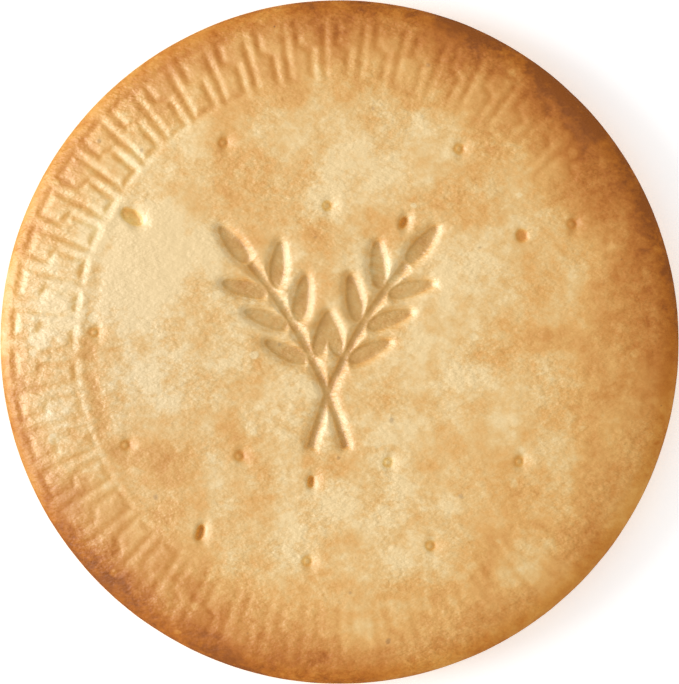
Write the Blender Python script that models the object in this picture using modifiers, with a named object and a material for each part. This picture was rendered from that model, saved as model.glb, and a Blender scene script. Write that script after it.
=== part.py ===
"""A marie biscuit: one baked disc, pressed with a Greek-key border, pin pits and crossed ears of wheat.

Metres, +Z up. The flat underside lies on z = 0 with the origin at its middle, and the pressed face looks up.
Angles round the disc are clockwise from +Y, seen from above.
"""

import math
from collections import namedtuple

import bmesh
import bpy
from mathutils import Vector

MM = 0.001

# A pressed pit: the length and width of its floor, its depth, how far its walls lean out on the way up,
# and how sharply its far end is pinched, from 0 for an oval.
Pit = namedtuple("Pit", "length width depth wall pinch")

# The disc. Its crown is a flat table that falls away, faster and faster, to the top of a short side wall.
WIDTH = 64.7 * MM
LENGTH = 65.2 * MM
THICKNESS = 6.3 * MM
TABLE_SHARE = 0.4
DOME_SPREAD = 3.0
DOME_TURN = 0.25
WALL_TOP = 2.9 * MM
FOOT_RADIUS = 0.8 * MM
DISC_STEPS = 96
CROWN_RINGS = 12
FOOT_RINGS = 3

# The Greek-key border: one groove that runs all the way round. Its ring sits a little left of the
# disc's middle.
KEY_REPEATS = 48
KEY_START = math.radians(5.9)
KEY_SHIFT = Vector((-0.6 * MM, 0.0, 0.0))
KEY_OUTER_SHARE = 0.936
KEY_MIDDLE_SHARE = 0.862
KEY_MIDDLE_SLANT = 0.008
KEY_INNER_SHARE = 0.762
KEY_INNER_LEG = 0.635
KEY_OUTER_LEG = 0.345
KEY_LONGEST_RUN = 0.07
KEY_DEPTH = 0.17 * MM
KEY_FLOOR_WIDTH = 0.3 * MM
KEY_WALL_LEAN = 1.1
KEY_HEADROOM = 0.28 * MM

# The border is pressed hardest at the upper left and has almost faded away at the lower right.
PRESS_CENTRE = math.radians(-60.0)
PRESS_FADE_CLOCKWISE = math.radians(62.0)
PRESS_FADE_BACK = math.radians(62.0)
PRESS_FADE_POWER = 1.5
PRESS_LEAST = 0.32

# How hard its outer and inner runs are pressed next to the strokes between them, and how hard on the
# side that faces left.
OUTER_RUN_PRESS = 0.6
OUTER_RUN_PRESS_LEFT = 1.05
INNER_RUN_PRESS = 0.55
INNER_RUN_PRESS_LEFT = 0.9
FACING_SIDE = math.radians(-92.0)
FACING_FADE = math.radians(34.0)

# The two ears of wheat in the middle, each the mirror of the other, with their stalks crossed.
WHEAT_MIDDLE = Vector((-1.1 * MM, 0.0, 0.0))
STALK_FOOT = Vector((-1.6 * MM, -9.8 * MM, 0.0))
STALK_LENGTH = 19.4 * MM
STALK_LEAN_FOOT = math.radians(15.0)
STALK_LEAN_TIP = math.radians(40.0)
STALK_POINTS = 14
STALK_STEPS = 24
STALK_RADIUS = 0.8 * MM
STALK_DEPTH = 0.48 * MM
STALK_RESOLUTION = 2
EAR_START = 8.2 * MM
GRAIN_PAIRS = 3
GRAIN_SPREAD = math.radians(40.0)
GRAIN_GAP = 0.95 * MM
TIP_GAP = 0.5 * MM
GRAIN = Pit(length=4.1 * MM, width=1.15 * MM, depth=0.48 * MM, wall=0.6 * MM, pinch=0.3)

# The pits of the docking pins, each with its middle's x and y. Five are open or half open, with a tilt
# clockwise from +Y, and the others have baked almost shut.
SHORT_SLOT = Pit(length=0.6 * MM, width=0.14 * MM, depth=0.75 * MM, wall=0.4 * MM, pinch=0.0)
LONG_SLOT = Pit(length=0.95 * MM, width=0.22 * MM, depth=0.75 * MM, wall=0.4 * MM, pinch=0.0)
WIDE_PIT = Pit(length=1.8 * MM, width=0.85 * MM, depth=0.45 * MM, wall=0.65 * MM, pinch=0.0)
ROUND_PIT = Pit(length=0.75 * MM, width=0.7 * MM, depth=0.18 * MM, wall=0.4 * MM, pinch=0.0)
OPEN_PITS = (
    (-19.7, 11.9, 120.0, WIDE_PIT),
    (17.3, 10.1, 0.0, ROUND_PIT),
    (6.0, 11.3, 30.0, SHORT_SLOT),
    (-2.7, -13.25, 8.0, SHORT_SLOT),
    (-13.25, -18.1, 17.0, LONG_SLOT),
)
CLOSED_PIT = Pit(length=0.55 * MM, width=0.55 * MM, depth=0.13 * MM, wall=0.4 * MM, pinch=0.0)
CLOSED_PITS = (
    (-11.0, 18.9),
    (11.3, 18.3),
    (-1.2, 12.9),
    (22.0, 11.1),
    (-23.3, 0.9),
    (-20.3, -9.8),
    (-9.5, -10.8),
    (4.6, -11.4),
    (17.0, -11.3),
    (8.6, -19.3),
    (-3.1, -20.8),
)
PIT_SIDES = 12
PIT_HEADROOM = 0.15 * MM
WELD = 0.001 * MM
SMOOTH_ANGLE = math.radians(35.0)

CRUST_COLOUR = (0.76, 0.47, 0.19, 1.0)
CRUST_ROUGHNESS = 0.62


def clear_scene():
    """Remove every object that is in the file."""
    for item in list(bpy.data.objects):
        bpy.data.objects.remove(item, do_unlink=True)


def new_collection(name):
    """Make a collection under the scene and return it."""
    collection = bpy.data.collections.new(name)
    bpy.context.scene.collection.children.link(collection)
    return collection


def new_object(name, data, collection):
    """Put mesh or curve data in a collection as an object."""
    item = bpy.data.objects.new(name, data)
    collection.objects.link(item)
    return item


def baked_crust():
    """The one finish of the biscuit: pale golden, slightly brown crust."""
    material = bpy.data.materials.new("baked_crust")
    material.use_nodes = True
    shader = material.node_tree.nodes["Principled BSDF"]
    shader.inputs["Base Color"].default_value = CRUST_COLOUR
    shader.inputs["Roughness"].default_value = CRUST_ROUGHNESS
    shader.inputs["Metallic"].default_value = 0.0
    return material


def evaluated_mesh(item):
    """The object's mesh with its modifiers or its curve bevel worked out."""
    graph = bpy.context.evaluated_depsgraph_get()
    return bpy.data.meshes.new_from_object(item.evaluated_get(graph))


def crown_height(share):
    """Height of the upper face at a share of the disc's radius."""
    table = TABLE_SHARE**DOME_SPREAD
    fall = max(0.0, share**DOME_SPREAD - table) / (1.0 - table)
    return WALL_TOP + (THICKNESS - WALL_TOP) * max(0.0, 1.0 - fall) ** DOME_TURN


def height_at(x, y):
    """Height of the upper face over a point of the disc."""
    return crown_height(math.hypot(x / (WIDTH / 2), y / (LENGTH / 2)))


def on_disc(angle, share):
    """A point at an angle and a share of the radius, measured from the disc's own middle."""
    return Vector((share * math.sin(angle) * WIDTH / 2, share * math.cos(angle) * LENGTH / 2, 0.0))


def rim_section():
    """The disc's half section: from the table's edge over the crown, then down the wall to the foot."""
    radius = LENGTH / 2
    points = []
    for ring in range(CROWN_RINGS + 1):
        turn = math.pi / 2 * ring / CROWN_RINGS
        share = TABLE_SHARE + (1.0 - TABLE_SHARE) * math.sin(turn)
        points.append((share * radius, crown_height(share)))
    for ring in range(FOOT_RINGS + 1):
        turn = math.pi / 2 * ring / FOOT_RINGS
        reach = radius - FOOT_RADIUS * (1.0 - math.cos(turn))
        points.append((reach, FOOT_RADIUS * (1.0 - math.sin(turn))))
    return points


def turned_disc(collection):
    """The plain disc: its section turned round Z, its table and foot closed, and made slightly oval."""
    section = bpy.data.meshes.new("disc_section")
    points = [(reach, 0.0, height) for reach, height in rim_section()]
    section.from_pydata(points, [(n, n + 1) for n in range(len(points) - 1)], [])
    guide = new_object("disc_section", section, collection)
    screw = guide.modifiers.new("turn", "SCREW")
    screw.axis = "Z"
    screw.angle = math.tau
    screw.steps = DISC_STEPS
    screw.render_steps = DISC_STEPS
    screw.use_merge_vertices = True
    screw.merge_threshold = WELD
    screw.use_smooth_shade = True
    mesh = evaluated_mesh(guide)
    bpy.data.objects.remove(guide, do_unlink=True)
    body = bmesh.new()
    body.from_mesh(mesh)
    bmesh.ops.holes_fill(body, edges=[edge for edge in body.edges if edge.is_boundary])
    bmesh.ops.recalc_face_normals(body, faces=body.faces)
    bmesh.ops.scale(body, vec=(WIDTH / LENGTH, 1.0, 1.0), verts=body.verts)
    body.to_mesh(mesh)
    body.free()
    return mesh


def angle_between(angle, other):
    """How far an angle lies clockwise of another one, from -pi to pi."""
    return (angle - other + math.pi) % math.tau - math.pi


def press_strength(angle, share):
    """How hard the border is pressed at an angle and a share of the radius, from almost 0 to 1."""
    away = angle_between(angle, PRESS_CENTRE)
    fade = PRESS_FADE_CLOCKWISE if away > 0.0 else PRESS_FADE_BACK
    strength = PRESS_LEAST + (1.0 - PRESS_LEAST) * math.exp(-(abs(away / fade) ** PRESS_FADE_POWER))
    facing = math.exp(-((angle_between(angle, FACING_SIDE) / FACING_FADE) ** 2))
    if share == KEY_OUTER_SHARE:
        strength *= OUTER_RUN_PRESS + (OUTER_RUN_PRESS_LEFT - OUTER_RUN_PRESS) * facing
    if share == KEY_INNER_SHARE:
        strength *= INNER_RUN_PRESS + (INNER_RUN_PRESS_LEFT - INNER_RUN_PRESS) * facing
    return strength


def key_stroke():
    """Points of one repeat of the border: how far round the repeat each lies, and at which share."""
    corners = (
        (0.0, KEY_OUTER_SHARE),
        (0.0, KEY_INNER_SHARE),
        (KEY_INNER_LEG, KEY_INNER_SHARE),
        (KEY_INNER_LEG, KEY_MIDDLE_SHARE - KEY_MIDDLE_SLANT),
        (KEY_OUTER_LEG, KEY_MIDDLE_SHARE + KEY_MIDDLE_SLANT),
        (KEY_OUTER_LEG, KEY_OUTER_SHARE),
        (1.0, KEY_OUTER_SHARE),
    )
    stroke = []
    for (step, share), (next_step, next_share) in zip(corners, corners[1:]):
        pieces = math.ceil(abs(next_share - share) / KEY_LONGEST_RUN) or 1
        for piece in range(pieces):
            along = piece / pieces
            stroke.append((step + (next_step - step) * along, share + (next_share - share) * along))
    return stroke


def key_path():
    """Floor points of the Greek-key groove, all the way round."""
    pitch = math.tau / KEY_REPEATS
    path = []
    for repeat in range(KEY_REPEATS):
        for step, share in key_stroke():
            angle = KEY_START + (repeat + step) * pitch
            point = on_disc(angle, share) + KEY_SHIFT
            point.z = height_at(point.x, point.y) - KEY_DEPTH * press_strength(angle, share)
            path.append(point)
    return path


def line_curve(name, points, cyclic, collection):
    """A curve object with one straight-sided spline through the points."""
    curve = bpy.data.curves.new(name, "CURVE")
    curve.dimensions = "3D"
    curve.twist_mode = "Z_UP"
    spline = curve.splines.new("POLY")
    spline.points.add(len(points) - 1)
    for slot, point in zip(spline.points, points):
        slot.co = (point.x, point.y, point.z, 1.0)
    spline.use_cyclic_u = cyclic
    return new_object(name, curve, collection)


def groove_section(collection):
    """The groove's section: a narrow floor, leaning walls, and open above the crust."""
    rise = KEY_DEPTH + KEY_HEADROOM
    floor = KEY_FLOOR_WIDTH / 2
    brim = floor + KEY_WALL_LEAN * rise
    corners = (Vector((-floor, 0.0, 0.0)), Vector((floor, 0.0, 0.0)))
    corners += (Vector((brim, rise, 0.0)), Vector((-brim, rise, 0.0)))
    section = line_curve("groove_section", corners, True, collection)
    section.data.dimensions = "2D"
    section.data.fill_mode = "NONE"
    return section


def curve_to_cutter(curve_item, collection):
    """Turn a curve object into a closed mesh object with its faces pointing out, and remove the curve."""
    name = curve_item.name
    place = curve_item.matrix_world.copy()
    mesh = evaluated_mesh(curve_item)
    bpy.data.objects.remove(curve_item, do_unlink=True)
    body = bmesh.new()
    body.from_mesh(mesh)
    bmesh.ops.remove_doubles(body, verts=body.verts, dist=WELD)
    bmesh.ops.recalc_face_normals(body, faces=body.faces)
    body.to_mesh(mesh)
    body.free()
    cutter = new_object(name + "_cutter", mesh, collection)
    cutter.matrix_world = place
    return mark_as_cutter(cutter)


def mark_as_cutter(item):
    """Show a cutter as a wire, and leave it out of renders."""
    item.hide_render = True
    item.display_type = "WIRE"
    return item


def key_cutter(collection):
    """The tool that presses the Greek-key border."""
    section = groove_section(collection)
    path = line_curve("key", key_path(), True, collection)
    path.data.bevel_mode = "OBJECT"
    path.data.bevel_object = section
    cutter = curve_to_cutter(path, collection)
    bpy.data.objects.remove(section, do_unlink=True)
    return cutter


def heading(angle):
    """A step of length 1 in the direction of an angle, clockwise from +Y."""
    return Vector((math.sin(angle), math.cos(angle), 0.0))


def stalk_point(along):
    """Place and lean of the right-hand ear's stalk at a length along it."""
    bend = (STALK_LEAN_TIP - STALK_LEAN_FOOT) * along / STALK_LENGTH
    place = WHEAT_MIDDLE + STALK_FOOT
    for step in range(STALK_STEPS):
        lean = STALK_LEAN_FOOT + bend * (step + 0.5) / STALK_STEPS
        place = place + heading(lean) * along / STALK_STEPS
    return place, STALK_LEAN_FOOT + bend


def mirrored(place):
    """The same place on the other side of the wheat's middle line."""
    return Vector((2.0 * WHEAT_MIDDLE.x - place.x, place.y, place.z))


def stalk_cutter(side, collection):
    """The tool that presses one stalk; side is 1 for the right-hand ear and -1 for the left-hand ear."""
    points = []
    for step in range(STALK_POINTS):
        place, _ = stalk_point(STALK_LENGTH * step / (STALK_POINTS - 1))
        if side < 0:
            place = mirrored(place)
        place.z = height_at(place.x, place.y) - STALK_DEPTH + STALK_RADIUS
        points.append(place)
    name = "stalk_right" if side > 0 else "stalk_left"
    stalk = line_curve(name, points, False, collection)
    stalk.data.bevel_depth = STALK_RADIUS
    stalk.data.bevel_resolution = STALK_RESOLUTION
    stalk.data.use_fill_caps = True
    return curve_to_cutter(stalk, collection)


def add_pit(tool, middle, turn, pit):
    """Add one pit's plug to a tool: an oval with its long axis along turn, wider above its floor."""
    rise = pit.depth + PIT_HEADROOM
    made = bmesh.ops.create_cone(
        tool, cap_ends=True, segments=PIT_SIDES, radius1=1.0, radius2=1.0, depth=rise
    )
    floor = height_at(middle.x, middle.y) - pit.depth
    for vert in made["verts"]:
        above_floor = vert.co.z + rise / 2
        growth = pit.wall * above_floor / pit.depth
        along = vert.co.y * (pit.length / 2 + growth)
        across = vert.co.x * (pit.width / 2 * (1.0 - pit.pinch * vert.co.y) + growth)
        vert.co = middle + heading(turn) * along + heading(turn + math.pi / 2) * across
        vert.co.z = floor + above_floor


def grain_cutter(collection):
    """The tool that presses the grains of both ears: pairs along each stalk, and one grain at its tip."""
    tool = bmesh.new()
    spacing = (STALK_LENGTH - EAR_START) / GRAIN_PAIRS
    for side in (1, -1):
        for pair in range(GRAIN_PAIRS):
            root, lean = stalk_point(EAR_START + spacing * pair)
            for hand in (-1, 1):
                add_grain(tool, root, lean + hand * GRAIN_SPREAD, GRAIN_GAP, side)
        root, lean = stalk_point(STALK_LENGTH)
        add_grain(tool, root, lean, TIP_GAP, side)
    return finished_cutter("grains_cutter", tool, collection)


def add_grain(tool, root, turn, gap, side):
    """Add one grain that starts a gap away from its root on the stalk, mirrored where side is -1."""
    middle = root + heading(turn) * (gap + GRAIN.length / 2)
    if side < 0:
        middle = mirrored(middle)
    add_pit(tool, middle, side * turn, GRAIN)


def pin_cutter(collection):
    """The tool that presses the pits of the docking pins."""
    tool = bmesh.new()
    for x, y, tilt, pit in OPEN_PITS:
        add_pit(tool, Vector((x, y, 0.0)) * MM, math.radians(tilt), pit)
    for x, y in CLOSED_PITS:
        add_pit(tool, Vector((x, y, 0.0)) * MM, 0.0, CLOSED_PIT)
    return finished_cutter("pins_cutter", tool, collection)


def finished_cutter(name, tool, collection):
    """Write a tool's mesh with its faces pointing out."""
    bmesh.ops.recalc_face_normals(tool, faces=tool.faces)
    mesh = bpy.data.meshes.new(name)
    tool.to_mesh(mesh)
    tool.free()
    return mark_as_cutter(new_object(name, mesh, collection))


def press(item, cutter):
    """Cut a tool's shape out of the biscuit. A tool may cross itself where two grains touch."""
    cut = item.modifiers.new(cutter.name, "BOOLEAN")
    cut.operation = "DIFFERENCE"
    cut.solver = "EXACT"
    cut.use_self = True
    cut.object = cutter


def make_biscuit():
    """Build the biscuit: turn the disc, then press its border, wheat and pin pits."""
    parts = new_collection("marie_biscuit")
    cutters = new_collection("pressing_tools")
    biscuit = new_object("biscuit", turned_disc(cutters), parts)
    tools = [key_cutter(cutters), grain_cutter(cutters), pin_cutter(cutters)]
    tools += [stalk_cutter(1, cutters), stalk_cutter(-1, cutters)]
    for tool in tools:
        press(biscuit, tool)
    pressed = evaluated_mesh(biscuit)
    biscuit.modifiers.clear()
    biscuit.data = pressed
    pressed.materials.clear()
    pressed.materials.append(baked_crust())
    pressed.shade_smooth()
    pressed.set_sharp_from_angle(angle=SMOOTH_ANGLE)
    return biscuit


clear_scene()
make_biscuit()
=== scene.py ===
"""The looks of a marie biscuit: pressed dough, baked golden, on a pale floor under soft studio light.

The biscuit is made the way a baker makes it. Dies for the Greek-key border, the ears of wheat and the
docking pins are laid out first. A blank of dough is then cut, with its points close together where a die
will bite, and the press sinks the dies into it. Last come the crust's finish, the light and the camera.

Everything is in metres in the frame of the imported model, with +Z up. Angles run clockwise from +Y, seen
from above. Places on the disc are also given as shares of its radius: 0 in the middle, 1 at the wall.
"""

import logging
import math
from dataclasses import dataclass, field, fields
from enum import Enum

import bpy
import numpy as np
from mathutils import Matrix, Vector
from mathutils.geometry import delaunay_2d_cdt


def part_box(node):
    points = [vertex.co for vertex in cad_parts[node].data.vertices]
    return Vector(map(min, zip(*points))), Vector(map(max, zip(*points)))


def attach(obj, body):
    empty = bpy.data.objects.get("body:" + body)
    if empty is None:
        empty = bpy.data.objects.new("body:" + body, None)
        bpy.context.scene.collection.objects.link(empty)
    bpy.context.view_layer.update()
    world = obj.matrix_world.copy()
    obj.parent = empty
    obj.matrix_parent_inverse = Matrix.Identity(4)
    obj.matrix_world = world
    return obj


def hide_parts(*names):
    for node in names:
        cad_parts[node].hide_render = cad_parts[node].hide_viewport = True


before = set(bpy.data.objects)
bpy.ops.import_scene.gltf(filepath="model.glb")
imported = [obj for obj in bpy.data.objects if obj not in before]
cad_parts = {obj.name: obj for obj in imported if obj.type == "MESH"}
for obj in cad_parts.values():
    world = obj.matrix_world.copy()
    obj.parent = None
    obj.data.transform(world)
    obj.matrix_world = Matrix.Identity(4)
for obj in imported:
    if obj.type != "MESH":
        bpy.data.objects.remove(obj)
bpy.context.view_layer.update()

LOG = logging.getLogger("biscuit")
MM = 0.001
NODE = "biscuit"
TRIANGLE_HEIGHT = math.sqrt(0.75)  # of a triangle whose sides are 1
JOIN_DISTANCE = 1e-9

Colour = tuple[float, float, float, float]
Span = tuple[float, float]  # where a step starts and where it ends


# ---------------------------------------------------------------------------------------------------------
# Node trees, written as sums


class Term:
    """One output of a node, which can be added, multiplied and compared like a number."""

    def __init__(self, writer: "NodeWriter", socket: bpy.types.NodeSocket) -> None:
        """Keep the output and the writer whose tree it is in."""
        self.writer = writer
        self.socket = socket

    def __add__(self, other: "Value") -> "Term":
        """The sum of two values."""
        return self.writer.math("ADD", self, other)

    def __radd__(self, other: "Value") -> "Term":
        """The sum of two values."""
        return self.writer.math("ADD", other, self)

    def __sub__(self, other: "Value") -> "Term":
        """The difference of two values."""
        return self.writer.math("SUBTRACT", self, other)

    def __rsub__(self, other: "Value") -> "Term":
        """The difference of two values."""
        return self.writer.math("SUBTRACT", other, self)

    def __mul__(self, other: "Value") -> "Term":
        """The product of two values."""
        return self.writer.math("MULTIPLY", self, other)

    def __rmul__(self, other: "Value") -> "Term":
        """The product of two values."""
        return self.writer.math("MULTIPLY", other, self)

    def __truediv__(self, other: "Value") -> "Term":
        """The quotient of two values."""
        return self.writer.math("DIVIDE", self, other)

    def __rtruediv__(self, other: "Value") -> "Term":
        """The quotient of two values."""
        return self.writer.math("DIVIDE", other, self)

    def __pow__(self, other: "Value") -> "Term":
        """A value raised to a power."""
        return self.writer.math("POWER", self, other)

    def __neg__(self) -> "Term":
        """The value with its sign turned."""
        return self.writer.math("MULTIPLY", self, -1.0)


Value = Term | float | int | tuple | Vector


class Way(Enum):
    """How a step goes from one level to the other."""

    STRAIGHT = "LINEAR"
    ROUNDED = "SMOOTHSTEP"


class Target(Enum):
    """The parts of a die that a distance is measured to."""

    EDGES = "EDGES"
    FACES = "FACES"


class NodeWriter:
    """Writes nodes into a tree, and hands out their outputs as terms."""

    def __init__(self, tree: bpy.types.NodeTree) -> None:
        """Keep the tree to write into."""
        self.tree = tree

    def node(self, kind: str, inputs: dict | None = None, **settings: object) -> bpy.types.Node:
        """Add a node.

        Args:
            kind: Blender's name for the node's type.
            inputs: Values for its inputs, by name or by number.
            settings: The node's own options.

        Returns:
            The new node.
        """
        made = self.tree.nodes.new(kind)
        for name, value in settings.items():
            setattr(made, name, value)
        for key, value in (inputs or {}).items():
            self.feed(made.inputs[key], value)
        return made

    def feed(self, socket: bpy.types.NodeSocket, value: Value) -> None:
        """Link a term to an input, or set the input to a plain value.

        Args:
            socket: The input.
            value: What goes into it.
        """
        if isinstance(value, Term):
            self.tree.links.new(value.socket, socket)
        else:
            socket.default_value = value

    def term(self, node: bpy.types.Node, output: str | int = 0) -> Term:
        """One of a node's outputs as a term."""
        return Term(self, node.outputs[output])

    def math(self, operation: str, *values: Value) -> Term:
        """A sum of up to three numbers by a Math node."""
        return self.term(self.node("ShaderNodeMath", dict(enumerate(values)), operation=operation))

    def vector(self, operation: str, *values: Value, output: str | int = 0) -> Term:
        """A sum of vectors by a Vector Math node."""
        made = self.node("ShaderNodeVectorMath", dict(enumerate(values)), operation=operation)
        return self.term(made, output)

    def length(self, value: Term) -> Term:
        """The length of a vector."""
        return self.vector("LENGTH", value, output="Value")

    def scaled(self, value: Value, by: Value) -> Term:
        """A vector times a number."""
        made = self.node("ShaderNodeVectorMath", {0: value, "Scale": by}, operation="SCALE")
        return self.term(made)

    def split(self, value: Term) -> tuple[Term, Term, Term]:
        """The three parts of a vector."""
        made = self.node("ShaderNodeSeparateXYZ", {0: value})
        return self.term(made, 0), self.term(made, 1), self.term(made, 2)

    def joined(self, x: Value, y: Value, z: Value) -> Term:
        """A vector from its three parts."""
        return self.term(self.node("ShaderNodeCombineXYZ", {0: x, 1: y, 2: z}))

    def step(
        self,
        value: Value,
        low: Value,
        high: Value,
        before: Value = 0.0,
        after: Value = 1.0,
        way: Way = Way.ROUNDED,
    ) -> Term:
        """A step from one level to another.

        Args:
            value: What the step follows.
            low: Where the step starts.
            high: Where it ends.
            before: The level below low.
            after: The level above high.
            way: How it goes between them.

        Returns:
            The level.
        """
        inputs = dict(enumerate((value, low, high, before, after)))
        return self.term(self.node("ShaderNodeMapRange", inputs, interpolation_type=way.value))

    def wall(self, away: Term, floor: Value, brim: Value) -> Term:
        """The side of a pressed groove, steep with rounded ends: 1 on its floor, 0 beyond its brim."""
        straight = self.step(away, floor, brim, 1.0, 0.0, Way.STRAIGHT)
        return (straight + self.step(away, floor, brim, 1.0, 0.0)) * 0.5

    def hump(self, value: Term, middle: Value, width: Value) -> Term:
        """A bell: 1 at the middle, and about a third at a width away on either side."""
        away = (value - middle) / width
        return self.math("EXPONENT", -(away * away))

    def blend(self, share: Value, first: Value, second: Value) -> Term:
        """A number that goes from first to second as share goes from 0 to 1."""
        # Mix keeps its numbers at inputs 2 and 3, and its colours at inputs 6 and 7 and output 2.
        return self.term(self.node("ShaderNodeMix", {0: share, 2: first, 3: second}, data_type="FLOAT"))

    def blend_colour(self, share: Value, first: Value, second: Value, how: str = "MIX") -> Term:
        """A colour that goes from first to second as share goes from 0 to 1."""
        made = self.node("ShaderNodeMix", {0: share, 6: first, 7: second}, data_type="RGBA", blend_type=how)
        return self.term(made, 2)


@dataclass(frozen=True)
class Cloud:
    """Soft random unevenness.

    Attributes:
        size: How large its lumps are.
        seed: Any number, for a pattern of its own.
        gain: How strong it is.
        detail: How many finer layers it has.
        rough: How strong the finer layers are.
    """

    size: float
    seed: float
    gain: float = 1.0
    detail: float = 2.0
    rough: float = 0.5

    def _texture(self, writer: NodeWriter, place: Term) -> bpy.types.Node:
        """The noise behind it.

        Args:
            writer: Where it is written.
            place: The place to read it at.

        Returns:
            A node whose outputs go from 0 to 1.
        """
        inputs = dict(Vector=place, W=self.seed, Scale=1.0 / self.size)
        inputs |= dict(Detail=self.detail, Roughness=self.rough)
        return writer.node("ShaderNodeTexNoise", inputs, noise_dimensions="4D")

    def at(self, writer: NodeWriter, place: Term) -> Term:
        """A number round 0 for a place, mostly within half of the gain."""
        return (writer.term(self._texture(writer, place)) - 0.5) * self.gain

    def push(self, writer: NodeWriter, place: Term, share: Value = 1.0) -> Term:
        """A vector round 0 for a place, with as much of the gain as the share says."""
        stray = writer.vector("SUBTRACT", writer.term(self._texture(writer, place), 1), (0.5, 0.5, 0.5))
        return writer.scaled(stray, share * self.gain)


class Recipe(NodeWriter):
    """A Geometry Nodes tree with named inputs, which is run once on an object."""

    def __init__(self, name: str) -> None:
        """Start an empty tree.

        Args:
            name: The tree's name.
        """
        super().__init__(bpy.data.node_groups.new(name, "GeometryNodeTree"))
        self.entry = self.tree.nodes.new("NodeGroupInput")
        self.exit = self.tree.nodes.new("NodeGroupOutput")
        self.named: dict[str, Term] = {}
        self.chosen: dict[str, object] = {}
        self.geometry = self._named("Geometry", "NodeSocketGeometry")
        self.tree.interface.new_socket(name="Geometry", in_out="OUTPUT", socket_type="NodeSocketGeometry")

    def _named(self, name: str, kind: str, value: object = None) -> Term:
        """A named input, which is added when it is first asked for.

        Args:
            name: The input's name.
            kind: Blender's name for the socket's type.
            value: What the modifier gives it, or None for the geometry that flows in.

        Returns:
            The input.
        """
        if name not in self.named:
            item = self.tree.interface.new_socket(name=name, in_out="INPUT", socket_type=kind)
            self.named[name] = Term(self, self.entry.outputs[name])
            if value is not None:
                self.chosen[item.identifier] = value
        return self.named[name]

    def size(self, name: str, value: float) -> Term:
        """A named input for a length, a share or an angle."""
        return self._named(name, "NodeSocketFloat", float(value))

    def count(self, name: str, value: int) -> Term:
        """A named input for a whole number."""
        return self._named(name, "NodeSocketInt", int(value))

    def guide(self, name: str, thing: bpy.types.Object) -> Term:
        """A named input for an object, read as geometry in its own coordinates."""
        chosen = self._named(name, "NodeSocketObject", thing)
        return self.term(self.node("GeometryNodeObjectInfo", {"Object": chosen}), "Geometry")

    def position(self) -> Term:
        """Where each point is."""
        return self.term(self.node("GeometryNodeInputPosition"))

    def placed(self, geometry: Term, position: Term) -> Term:
        """The geometry with its points put at new positions."""
        return self.term(self.node("GeometryNodeSetPosition", {"Geometry": geometry, "Position": position}))

    def together(self, parts: list[Term]) -> Term:
        """Several geometries as one.

        Args:
            parts: The geometries, in their order.

        Returns:
            All of them.
        """
        made = self.node("GeometryNodeJoinGeometry")
        for part in parts:
            self.tree.links.new(part.socket, made.inputs[0])
        return self.term(made)

    def real(self, geometry: Term) -> Term:
        """The geometry with its copies made real."""
        return self.term(self.node("GeometryNodeRealizeInstances", {"Geometry": geometry}))

    def reach(self, target: Target, die: Term, place: Term) -> Term:
        """The distance from a place to the nearest edge or face of a die."""
        inputs = {"Geometry": die, "Sample Position": place}
        return self.term(self.node("GeometryNodeProximity", inputs, target_element=target.value), "Distance")

    def nearest(self, die: Term, name: str, place: Term) -> Term:
        """The number that a die carries under a name, read at its point nearest to a place."""
        inputs = {"Mesh": die, "Value": self.stored(name), "Sample Position": place}
        return self.term(self.node("GeometryNodeSampleNearestSurface", inputs, data_type="FLOAT"))

    def kept(self, geometry: Term, name: str, value: Term) -> Term:
        """The geometry with a number for each point stored under a name.

        Args:
            geometry: The geometry.
            name: The name.
            value: The number.

        Returns:
            The same geometry, which carries the number.
        """
        inputs = {"Geometry": geometry, "Name": name, "Value": value}
        settings = {"data_type": "FLOAT", "domain": "POINT"}
        return self.term(self.node("GeometryNodeStoreNamedAttribute", inputs, **settings))

    def stored(self, name: str) -> Term:
        """A number that each point carries under a name."""
        return self.term(self.node("GeometryNodeInputNamedAttribute", {"Name": name}, data_type="FLOAT"))

    def serve(self, geometry: Term, material: bpy.types.Material, thing: bpy.types.Object) -> bpy.types.Mesh:
        """End the tree, run it on an object, and return the plain mesh that it makes.

        Args:
            geometry: What the tree has made.
            material: The material that all of it gets.
            thing: The object whose geometry goes in. It keeps no modifier.

        Returns:
            The new mesh.
        """
        dressed = self.node("GeometryNodeSetMaterial", {"Geometry": self.real(geometry)})
        self.feed(dressed.inputs["Material"], self._named("Material", "NodeSocketMaterial", material))
        self.tree.links.new(dressed.outputs[0], self.exit.inputs[0])
        modifier = thing.modifiers.new(self.tree.name, "NODES")
        modifier.node_group = self.tree
        for identifier, value in self.chosen.items():
            modifier[identifier] = value
        graph = bpy.context.evaluated_depsgraph_get()
        mesh = bpy.data.meshes.new_from_object(thing.evaluated_get(graph))
        thing.modifiers.remove(modifier)
        return mesh


# ---------------------------------------------------------------------------------------------------------
# Form of the biscuit


def heading(angle: float) -> Vector:
    """A step of length 1 in the direction of an angle, clockwise from +Y."""
    return Vector((math.sin(angle), math.cos(angle), 0.0))


def add_object(name: str, data: bpy.types.ID | None) -> bpy.types.Object:
    """Put data in the scene as an object at the origin.

    Args:
        name: The object's name.
        data: Its mesh, curve, light or camera.

    Returns:
        The object.
    """
    thing = bpy.data.objects.new(name, data)
    bpy.context.scene.collection.objects.link(thing)
    return thing


def drop_object(thing: bpy.types.Object) -> None:
    """Remove a helper object that has done its work."""
    bpy.data.objects.remove(thing, do_unlink=True)


def triangles(points: list[Vector]) -> list[tuple[int, ...]]:
    """Triangles over points in plan, each running round so that it looks up."""
    return [tuple(face) for face in delaunay_2d_cdt([p.to_2d() for p in points], [], [], 0, JOIN_DISTANCE)[2]]


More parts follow.
